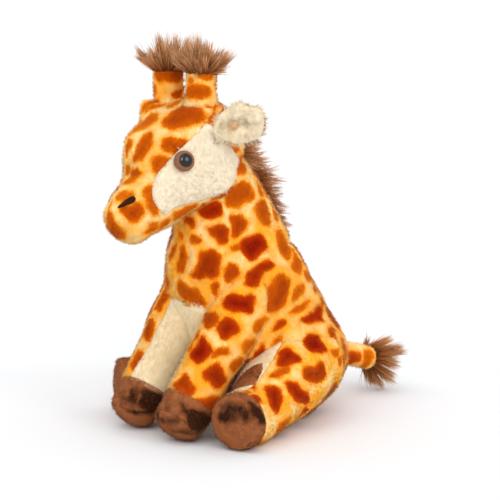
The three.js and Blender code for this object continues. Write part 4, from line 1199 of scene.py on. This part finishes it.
# Eyes: a domed button with a ring round its pupil
for hand, side in hands.items():
    at, out = eyePlace(side)
    at = at - out * eyeLook["sunk"][hand]
    profile = [(-eyeLook["stem"], 0.6), (-eyeLook["stem"], eyeLook["shank"]),
               (eyeLook["lift"] - 0.6, eyeLook["shank"]), (eyeLook["lift"] - 0.6, eyeLook["radius"] - 0.5),
               (eyeLook["lift"] - 0.2, eyeLook["radius"]), (eyeLook["brim"], eyeLook["radius"])]
    for lift in np.linspace(0, np.pi / 2, 16)[1:-1]:
        reach = eyeLook["radius"] * np.cos(lift)
        groove = eyeLook["groove"] * np.exp(-((reach - eyeLook["pupil"]) / eyeLook["groove"]) ** 2)
        profile.append((eyeLook["brim"] + eyeLook["dome"] * np.sin(lift) - groove, reach))
    button = turnProfile(profile, at, out, eyeLook["sides"])
    eye = addPiece(f"eye{hand}", button, None, irisPlastic)
    eye.data.materials.append(pupilPlastic)
    centres = button["points"][button["faces"]].mean(axis=1) - at
    reach = np.linalg.norm(centres - np.outer(centres @ out, out), axis=1)
    inner = (reach < eyeLook["pupil"]) & (centres @ out > eyeLook["brim"])
    eye.data.polygons.foreach_set("material_index", inner.astype(np.int32))
    finishPiece(eye, "eye_plastic", "head", (f"eye_{hand.lower()}",))
print("eyes made")

# Nostrils: short dark slits, widest at the back
nostrilLook = {
    "from": (135, 198.5), "to": (118, 208), "shares": (0.06, 0.3, 0.66, 0.96), "bow": 1.2,
    "halfWidths": (1.7, 1.9, 1.25, 0.5), "halfHeights": (0.9, 1.0, 0.8, 0.5),
    "lift": {"Left": 0.5, "Right": -0.6},
}
ends = [trees["head"].ray_cast(*photoRay(*nostrilLook[end])) for end in ("from", "to")]
for hand, side in hands.items():
    start, end = (np.array(hit[0]) * (side, 1, 1) for hit in ends)
    out = unit(np.array(ends[0][1]) + np.array(ends[1][1])) * (side, 1, 1)
    lift = nostrilLook["lift"][hand]
    line = [start + (end - start) * share + out * (lift + nostrilLook["bow"] * share * (1 - share))
            for share in nostrilLook["shares"]]
    slit = formSheet(Form(line, list(zip(nostrilLook["halfWidths"], nostrilLook["halfHeights"])), (1.0, 0.5),
                          across=np.cross(out, unit(end - start))), 0.35, 0)
    pile = growPile(slit, {"pile": 0.8, "lean": 40, "density": 4, "hair": 0.12}, backward)
    piece = addPiece(f"nostril{hand}", slit, pile, darkFabric, plainValues())
    finishPiece(piece, "dark_fabric", "head", (f"nostril_{hand.lower()}",))


# Legs: printed outer fabric, cream inner lining, brown hoof and round sole
seatTongue = laySeen(legSheets["hind", "Left"], [
    (1, (222, 364), (262, 362), (262, 372), (250, 387), (240, 399), (215, 412), (204, 396))], [])


joinReach = (14, 20)  # distances before and after the pivot for the skin's join at the leg's joint, which finishPiece does not apply


# The low end of a hind leg's lining is brown: both legs take the shape that the near one shows
def addTongue(piece, setback, side):
    piece.data.materials.append(brownPlush)
    corners = np.empty(3 * len(piece.data.vertices))
    piece.data.vertices.foreach_get("co", corners)
    loops = np.empty(3 * len(piece.data.polygons), int)
    piece.data.polygons.foreach_get("vertices", loops)
    middles = corners.reshape(-1, 3)[loops.reshape(-1, 3)].mean(axis=1) / mm
    middles = (middles - (0, setback, 0)) * (side, 1, 1)
    brown = seenField(middles, seatTongue)[0] > 0
    piece.data.polygons.foreach_set("material_index", brown.astype(np.int32))


def makeLeg(kind, hand):
    look, form, sheet = legLooks[kind], legForms[kind, hand], legSheets[kind, hand]
    side = hands[hand]
    cuffAt, cuffAlong, *_ = (row[0] for row in form.section(look["hoofShare"]))
    endAt, endAlong, *_ = (row[0] for row in form.section(1))
    startAt = form.section(0)[0][0]
    inward = np.cross(endAt - startAt, axisZ) * -1
    inward[2] = 0
    inward = unit(inward)
    if inward[0] * side > 0:
        inward = -inward
    middle = form.section(0.5)[0][0]

    def beyondCuff(points):
        return (points - cuffAt) @ cuffAlong

    def beyondEnd(points):
        return (points - endAt) @ endAlong

    def inner(points):  # the lining's seam lies this many radii inward of the leg's middle: top, middle, end
        shift = np.interp(form.nearestShare(points), (0, 0.5, 1), look["lining"][hand])
        return (points - middle) @ inward - shift * look["radius"]

    def exposed(points):
        return -bodyForm.outside(points) - 5

    def down(points):
        return np.tile(endAt - startAt, (len(points), 1))

    name, low = f"{kind}Leg{hand}", f"{kind}_leg_{hand.lower()}"
    others = [bodyForm] if kind == "hind" else [bodyForm, legForms["hind", hand]]
    hidden = clearOf(*others)
    hiddenBy = [tree for key, tree in trees.items() if key != (kind, hand)]
    laid = layPatches(sheet, bodyPatches, hiddenBy, look["seed"] + (side < 0),
                      lambda p: np.full(len(p), 0.18))
    # painted shade on the hooves and soles, from the traced dark zones
    napAndShade = hoofShadeOf(laySeen(sheet, hoofShades, hiddenBy))
    root = np.array(look["pivot"], float) * (side, 1, 1)
    onward = unit(form.section(0.45)[0][0] - form.section(0.05)[0][0])
    joined = ("torso", low, tuple(root - onward * joinReach[0]), tuple(root + onward * joinReach[1]))
    parts = (
        ("Skin", lambda p: np.max([beyondCuff(p), inner(p), exposed(p)], axis=0), printedPlush, "spotted_plush",
         printOf(laid), ("skin", "filling")),
        ("Lining", lambda p: np.max([beyondCuff(p), -inner(p), exposed(p)], axis=0), tanPlush, "cream_plush",
         plainValues(), ("lining",)),
        ("Hoof", lambda p: np.maximum(-0.8 - beyondCuff(p), beyondEnd(p)), brownPlush, "brown_plush",
         napAndShade, ("hoof",)),
        ("Sole", lambda p: -beyondEnd(p), brownPlush, "brown_plush", napAndShade, ("sole",)),
    )
    for part, measure, material, slotName, values, nodes in parts:
        cut = hemSheet(cutSheet(sheet, measure, look["cell"]), 0.25, 0.8)
        pile = growPile(cut, look, down, hidden)
        piece = addPiece(name + part, cut, pile, material, values)
        replaced = tuple(f"{low}_{node}" for node in nodes)
        if kind == "hind" and part == "Lining":
            addTongue(piece, look["setback"][hand], side)
        blend = joined if part in ("Skin", "Lining") else None
        finishPiece(piece, slotName, low, replaced, blend, look["fill"])


for kind, hand in legForms:
    makeLeg(kind, hand)
print("legs made")


# Yarn strands: tapered three-sided hairs, gathered into clumps whose tips draw together
strandLook = {
    "pulls": (0.6, 1), "reaches": (0.62, 1.02), "endStray": 0.7, "droops": (0.4, 1), "bend": 0.12,
    "bendStray": 0.5, "taper": 0.62, "clumpTone": 0.5, "strandTone": 0.3,
}


def growStrands(name, roots, outs, lengths, clumps, look):
    count = len(roots)
    clump = np.array([np.argmin(np.linalg.norm(clumps["foot"] - root, axis=1)) for root in roots])
    clump = np.where(rng.random(count) < look["loose"], rng.integers(0, len(clumps["foot"]), count), clump)
    aim = unit(outs + rng.normal(0, look["stray"], (count, 3)))
    ends = roots + aim * lengths[:, None]
    pull = look["gather"] * rng.uniform(*strandLook["pulls"], (count, 1))
    foot, reach = clumps["foot"][clump], rng.uniform(*strandLook["reaches"], (count, 1))
    strays = rng.normal(0, strandLook["endStray"], (count, 3))
    gathered = foot + (clumps["tip"][clump] - foot) * reach + strays
    ends = ends * (1 - pull) + gathered * pull
    droop = look["droop"] * lengths[:, None] * rng.uniform(*strandLook["droops"], (count, 1))
    ends = ends - axisZ * droop
    strays = rng.normal(0, strandLook["bendStray"], (count, 3))
    middle = (roots + ends) / 2 + aim * lengths[:, None] * strandLook["bend"] + strays
    rows = look["rows"]
    side = unit(np.cross(aim, rng.normal(size=(count, 3))))
    up = np.cross(aim, side)
    blocks = []
    for k in range(rows):
        s = k / rows
        centre = roots * (1 - s) ** 2 + middle * 2 * s * (1 - s) + ends * s ** 2
        thick = look["thick"] * (1 - strandLook["taper"] * s)
        blocks += [centre + (side * np.cos(a) + up * np.sin(a)) * thick for a in hairCorners]
    blocks.append(ends)
    points = np.stack(blocks, 1)
    each = 3 * rows + 1
    faces = [[0, 2, 1]]
    for k in range(rows - 1):
        for j in range(3):
            a, b = 3 * k + j, 3 * k + (j + 1) % 3
            faces += [[a, b, b + 3], [a, b + 3, a + 3]]
    last = 3 * (rows - 1)
    faces += [[last + j, last + (j + 1) % 3, 3 * rows] for j in range(3)]
    allFaces = (np.arange(count)[:, None, None] * each + np.array(faces)).reshape(-1, 3)
    level = np.append(np.repeat(np.arange(rows) / rows, 3), 1)
    columns = int(np.ceil(np.sqrt(count)))
    cellAt = np.stack([np.arange(count) % columns, np.arange(count) // columns], -1) / columns
    inCell = np.stack([np.append(np.tile([0.1, 0.5, 0.9], rows), 0.5), 0.08 + 0.84 * level], -1) / columns
    place = (cellAt[:, None] + inCell).reshape(-1, 2)
    piece = addPiece(name, {"points": points.reshape(-1, 3), "faces": allFaces, "place": place}, None, yarn)
    shared = (rng.random(len(clumps["foot"]))[clump] - 0.5) * strandLook["clumpTone"]
    tone = np.clip(0.5 + shared + rng.normal(0, strandLook["strandTone"], count), 0, 1)
    piece.data.attributes["tip"].data.foreach_set("value", np.tile(level, count).astype(np.float32))
    piece.data.attributes["tone"].data.foreach_set("value", np.repeat(tone, each).astype(np.float32))
    return piece


# A tuft stands on the end of a horn or the tail: a disc of roots, and uneven clumps that fan out of it
def makeTuft(name, at, out, look):
    first = unit(np.cross(out, axisX + 0.013 * axisY))
    second = np.cross(out, first)

    def fan(count, clumped):
        turn = rng.uniform(0, 2 * np.pi, count)
        part = np.sqrt(rng.random(count))
        ring = np.cos(turn)[:, None] * first + np.sin(turn)[:, None] * second
        lean = np.radians(look["lean"] * part ** look["leanPower"] + rng.normal(0, look["leanSpread"], count))
        if clumped:  # a few clumps hang out to the side
            hanging = rng.random(count) < look["drooping"]
            lean = np.where(hanging, np.radians(rng.uniform(*look["hangs"], count)), lean)
        aim = out * np.cos(lean)[:, None] + ring * np.sin(lean)[:, None]
        sideways = np.clip(np.sin(lean), 0, 1) ** look["sidePower"]
        reach = look["height"] + (look["spread"] - look["height"]) * sideways
        foot = at + ring * (look["root"] * part)[:, None] - out * look["sink"]
        return foot, aim, reach

    foot, aim, reach = fan(look["clumps"], True)
    length = reach * (look["shortest"] + look["uneven"] * rng.random(len(foot)) ** look["shortPower"])
    clumps = {"foot": foot, "tip": foot + aim * length[:, None]}
    roots, outs, lengths = fan(look["count"], False)
    return growStrands(name, roots, outs, lengths * rng.uniform(0.6, 1.0, len(roots)), clumps, look)


# Horns: printed tubes with a yarn tuft on top
tuftLook = {
    "height": 28, "spread": 19, "root": 7.6, "lean": 56, "drooping": 0.12, "sink": 1.5, "clumps": 40,
    "count": 1900, "stray": 0.14, "gather": 0.86, "rows": 4, "thick": 0.2, "droop": 0.02, "loose": 0.08,
    "leanPower": 1.1, "leanSpread": 9, "hangs": (78, 112), "sidePower": 1.5, "shortest": 0.62, "uneven": 0.5,
    "shortPower": 1.3,
}
for hand, side, patches in (("Left", 1, headPatches), ("Right", -1, farHornPatches)):
    form = hornForm(side)
    tube = soften(formSheet(form, shallow["cell"], 0.9), 0.25, 7, 12 + side)
    bridge(tube, headForm, bridgeLook["horn"])
    laid = layPatches(tube, patches, [], 51 + side, lambda p: np.full(len(p), 0.55))
    cut = hemSheet(cutSheet(tube, lambda p: -headForm.outside(p) - 4, shallow["cell"]))
    pile = growPile(cut, shallow, lambda p: np.tile(axisZ, (len(p), 1)), headForm.outside)
    piece = addPiece(f"horn{hand}", cut, pile, printedPlush, printOf(laid))
    low = f"horn_{hand.lower()}"
    finishPiece(piece, "spotted_plush", low, (low, f"horn_filling_{hand.lower()}"), fill=hornLook["fill"])
    tip = form.line[-1] + axisZ * 1.5
    tuft = makeTuft(f"hornTuft{hand}", tip, axisZ, tuftLook)
    finishPiece(tuft, "brown_yarn", low, (f"horn_tuft_{hand.lower()}",))
print("horns made")

# Ears: a furry cream leaf, folded down its middle, on a printed back that wraps round its root
earFur = {"pile": 4.4, "lean": 54, "density": 1.0, "hair": 0.24, "lock": 1.7, "tangle": 0.16}
earCut = {
    "bow": 0.009, "narrow": 0.86, "raise": 1.5, "curl": 0.8, "curlFrom": 4, "rootWrap": -2, "cell": 0.9,
    "fold": 2.8, "foldWidth": 2.8, "foldLength": 8, "foldAt": (-4.5, 1.5), "dish": 1.0, "dishWidth": 12,
    "dishLength": 13, "hem": (0.3, 1.0, 1.0), "backing": 1.2,
}
for hand, side in hands.items():
    form, root, along, facing = earForm(side)
    middle = root + along * 0.5 * earLook["length"]
    wide = np.cross(facing, along)
    leaf = formSheet(form, earCut["cell"], 0.4)
    width = (leaf["points"] - root) @ wide
    leaf["points"] += wide * ((earCut["narrow"] - 1) * width + earCut["raise"])[:, None]

    def bowed(points):  # the leaf bows forward at its sides and curls round the head at its root
        width = ((points - root) @ wide - earCut["raise"]) / earCut["narrow"]
        curl = earCut["curl"] * np.maximum(earCut["curlFrom"] - (points - root) @ along, 0)
        return earCut["bow"] * width ** 2 + curl

    leaf["points"] += facing * bowed(leaf["points"])[:, None]

    def faceOf(points):
        return (points - root) @ facing - bowed(points)

    def hiddenIn(points):
        return -headForm.outside(points) - 3

    def atRoot(points):
        return earCut["rootWrap"] - (points - root) @ along

    hollow = middle + along * earCut["foldAt"][0] + wide * earCut["foldAt"][1]

    def away(points):
        return points - hollow

    def foldOf(points):
        across = away(points) @ wide / earCut["foldWidth"]
        length = away(points) @ along / earCut["foldLength"]
        return np.exp(-across ** 2) * np.clip(1 - length ** 2, 0, 1) ** 0.7

    lining = cutSheet(leaf, lambda p: np.max([-faceOf(p), hiddenIn(p), atRoot(p)], axis=0), earCut["cell"])
    reach = lining["points"] - middle
    across, length = reach @ wide / earCut["dishWidth"], reach @ along / earCut["dishLength"]
    dished = np.clip(1 - across ** 2 - length ** 2, 0, 1)
    sunk = earCut["fold"] * foldOf(lining["points"]) + earCut["dish"] * dished
    lining["points"] = lining["points"] - facing * sunk[:, None]
    lining = hemSheet(soften(lining, 0.5, 5, 23), *earCut["hem"])
    # the ear's fold takes painted shade, in a warm tan
    piece = addPiece(f"earLining{hand}", lining, growPile(lining, earFur, away, headForm.outside), creamFur,
                     plainValues(lambda p: 0.26 * foldOf(p) - 0.1))
    low, fill = hand.lower(), earLook["fill"]
    finishPiece(piece, "cream_plush", f"ear_{low}", (f"ear_lining_{low}",), fill=fill)
    back = cutSheet(leaf, lambda p: np.maximum(np.minimum(faceOf(p), -atRoot(p)), hiddenIn(p)), earCut["cell"])
    back = hemSheet(back, *earCut["hem"])
    back["points"] = back["points"] - facing * earCut["backing"]
    laid = layPatches(leaf, [], [], 61 + side, lambda p: np.full(len(p), 0.5))
    pile = growPile(back, shallow, away, headForm.outside)
    piece = addPiece(f"earBack{hand}", back, pile, printedPlush, printOf(laid))
    finishPiece(piece, "spotted_plush", f"ear_{low}", (f"ear_back_{low}",), fill=fill)
print("ears made")

# Mane: a standing strip of yarn from between the ears down the nape
maneLook = {
    "half": 6.6, "sink": 3.8, "neckShares": (0.57, 0.66, 0.75, 0.84, 0.95),
    "neckStand": (7.5, 11.5, 16.5, 19.5, 21.5), "headTurns": (0, 18, 36, 54),
    "headStand": (12.5, 17.5, 20.5, 21.5), "headShare": 0.9, "count": 2600, "clumps": 110, "stray": 0.2,
    "gather": 0.82, "rows": 4, "thick": 0.22, "droop": 0.04, "fan": 0.7, "loose": 0.08, "tangle": 0.32,
}


def growMane(name, line, outs, stand, share):
    line, outs = np.array(line), np.array(outs)
    stand = np.array(stand, float)[:, None]

    def strip(count):
        place = rng.random(count)
        foot, out = curveAt(line, place), unit(curveAt(outs, place))
        foot = foot + axisX * rng.uniform(-1, 1, (count, 1)) * maneLook["half"] - out * maneLook["sink"]
        out = unit(out + axisX * (foot[:, :1] / maneLook["half"]) * maneLook["fan"])
        return foot, out, curveAt(stand, place)[:, 0]

    foot, out, length = strip(int(maneLook["clumps"] * share))
    out = unit(out + rng.normal(0, maneLook["tangle"], out.shape))
    clumps = {"foot": foot, "tip": foot + out * (length * rng.uniform(0.7, 1.25, len(foot)))[:, None]}
    roots, out, length = strip(int(maneLook["count"] * share))
    return growStrands(name, roots, out, length * rng.uniform(0.6, 1, len(roots)), clumps, maneLook)


at, along, side, deep, half = bodyForm.section(np.array(maneLook["neckShares"]))
nape = at + deep * (half[:, 1:] + backLift(at[:, 2:]))
mane = growMane("maneNeck", nape, unit(deep - 0.25 * along), maneLook["neckStand"], 1)
finishPiece(mane, "brown_yarn", replaces=("mane_neck",), blend=neckJoin)
at, along, side, deep, half = (row[0] for row in headForm.section(0))
turns = np.radians(maneLook["headTurns"])
nape = [at - along * headLook["domes"][0] * np.cos(turn) - deep * half[1] * np.sin(turn) for turn in turns]
napeOut = [unit(-along * np.cos(turn) / headLook["domes"][0] - deep * np.sin(turn) / half[1]) for turn in turns]
mane = growMane("maneHead", nape, napeOut, maneLook["headStand"], maneLook["headShare"])
finishPiece(mane, "brown_yarn", "head", ("mane_head",))
print("mane made")

# Tail: a printed tube that ends in a yarn tuft
tube = soften(formSheet(tailForm, shallow["cell"], 0.9), 0.25, 7, 17)
bridge(tube, bodyForm, bridgeLook["tail"])
laid = layPatches(tube, tailPatches, [], 71, lambda p: np.full(len(p), 0.4))
cut = hemSheet(cutSheet(tube, lambda p: -bodyForm.outside(p) - 4, shallow["cell"]))
tailEnd, tailAlong, *_ = (row[0] for row in tailForm.section(1))
pile = growPile(cut, shallow, lambda p: np.tile(tailAlong, (len(p), 1)), bodyForm.outside)
piece = addPiece("tailSkin", cut, pile, printedPlush, printOf(laid))
finishPiece(piece, "spotted_plush", replaces=("tail_skin", "tail_filling"),
            blend=("torso", "tail", (0, 40, 31), (0, 58, 30)), fill=tailLook["fill"])
tuft = makeTuft("tailTuft", tailEnd + tailAlong * 2, tailAlong, {
    **tuftLook, "height": 29, "spread": 24, "root": 6.6, "lean": 52, "drooping": 0.02, "clumps": 30})
finishPiece(tuft, "brown_yarn", "tail", ("tail_tuft",))
print("tail made")

# The washers and the pellet pouch stay as the frame has them, inside
for name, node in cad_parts.items():
    if not node.hide_render:
        node.data.materials.clear()
        node.data.materials.append(washerPlastic if name.startswith("eye_washer") else pelletPlastic)

# Floor, light and backdrop
studio = {"floorSize": 60, "worldLevel": 0.98, "lamps": [
    ("softbox", (-0.4, 0.7, -1), 0.48, 70), ("leftWindow", (-0.72, 0.45, -0.53), 0.42, 22),
    ("rightWindow", (-0.87, -0.16, -0.46), 0.4, 22)]}
floorMaterial, tree = newMaterial("paleCardFloor")
finishMaterial(tree, {"Base Color": (0.85, 0.865, 0.88, 1), "Roughness": 0.8, "Specular IOR Level": 0.1}, {})
half = studio["floorSize"] / 2
floorMesh = bpy.data.meshes.new("floor")
corners = [(-half, -half, 0), (half, -half, 0), (half, half, 0), (-half, half, 0)]
floorMesh.from_pydata(corners, [], [(0, 1, 2, 3)])
floor = bpy.data.objects.new("floor", floorMesh)
bpy.context.scene.collection.objects.link(floor)
floorMesh.materials.append(floorMaterial)
floor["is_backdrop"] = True

world = bpy.data.worlds.new("studio")
bpy.context.scene.world = world
world.use_nodes = True
tree = world.node_tree
tree.nodes.clear()
path = addNode(tree, "ShaderNodeLightPath")
seenRays = mathOf(tree, "MAXIMUM", path.outputs["Is Camera Ray"], path.outputs["Is Glossy Ray"])
seenRays = mathOf(tree, "MAXIMUM", seenRays, path.outputs["Is Transmission Ray"])
level = rangeOf(tree, seenRays, 0, 1, studio["worldLevel"], 1)
backdrop = addNode(tree, "ShaderNodeBackground", {"Color": (1, 1, 1, 1)}, {"Strength": level})
addNode(tree, "ShaderNodeOutputWorld", {}, {"Surface": backdrop.outputs[0]})


# A broad soft light from above and two smaller ones at the giraffe's left, which its eye mirrors
for name, aim, power, spread in studio["lamps"]:
    lamp = bpy.data.lights.new(name, "SUN")
    lamp.energy, lamp.angle = power, np.radians(spread)
    lampObject = bpy.data.objects.new(name, lamp)
    bpy.context.scene.collection.objects.link(lampObject)
    lampObject.rotation_euler = Vector(aim).to_track_quat("-Z", "Y").to_euler()

bpy.context.scene.view_settings.view_transform = "Standard"
low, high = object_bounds()
{"cad": [list(cadLow), list(cadHigh)], "visual": [list(low), list(high)]}
print("scene made")
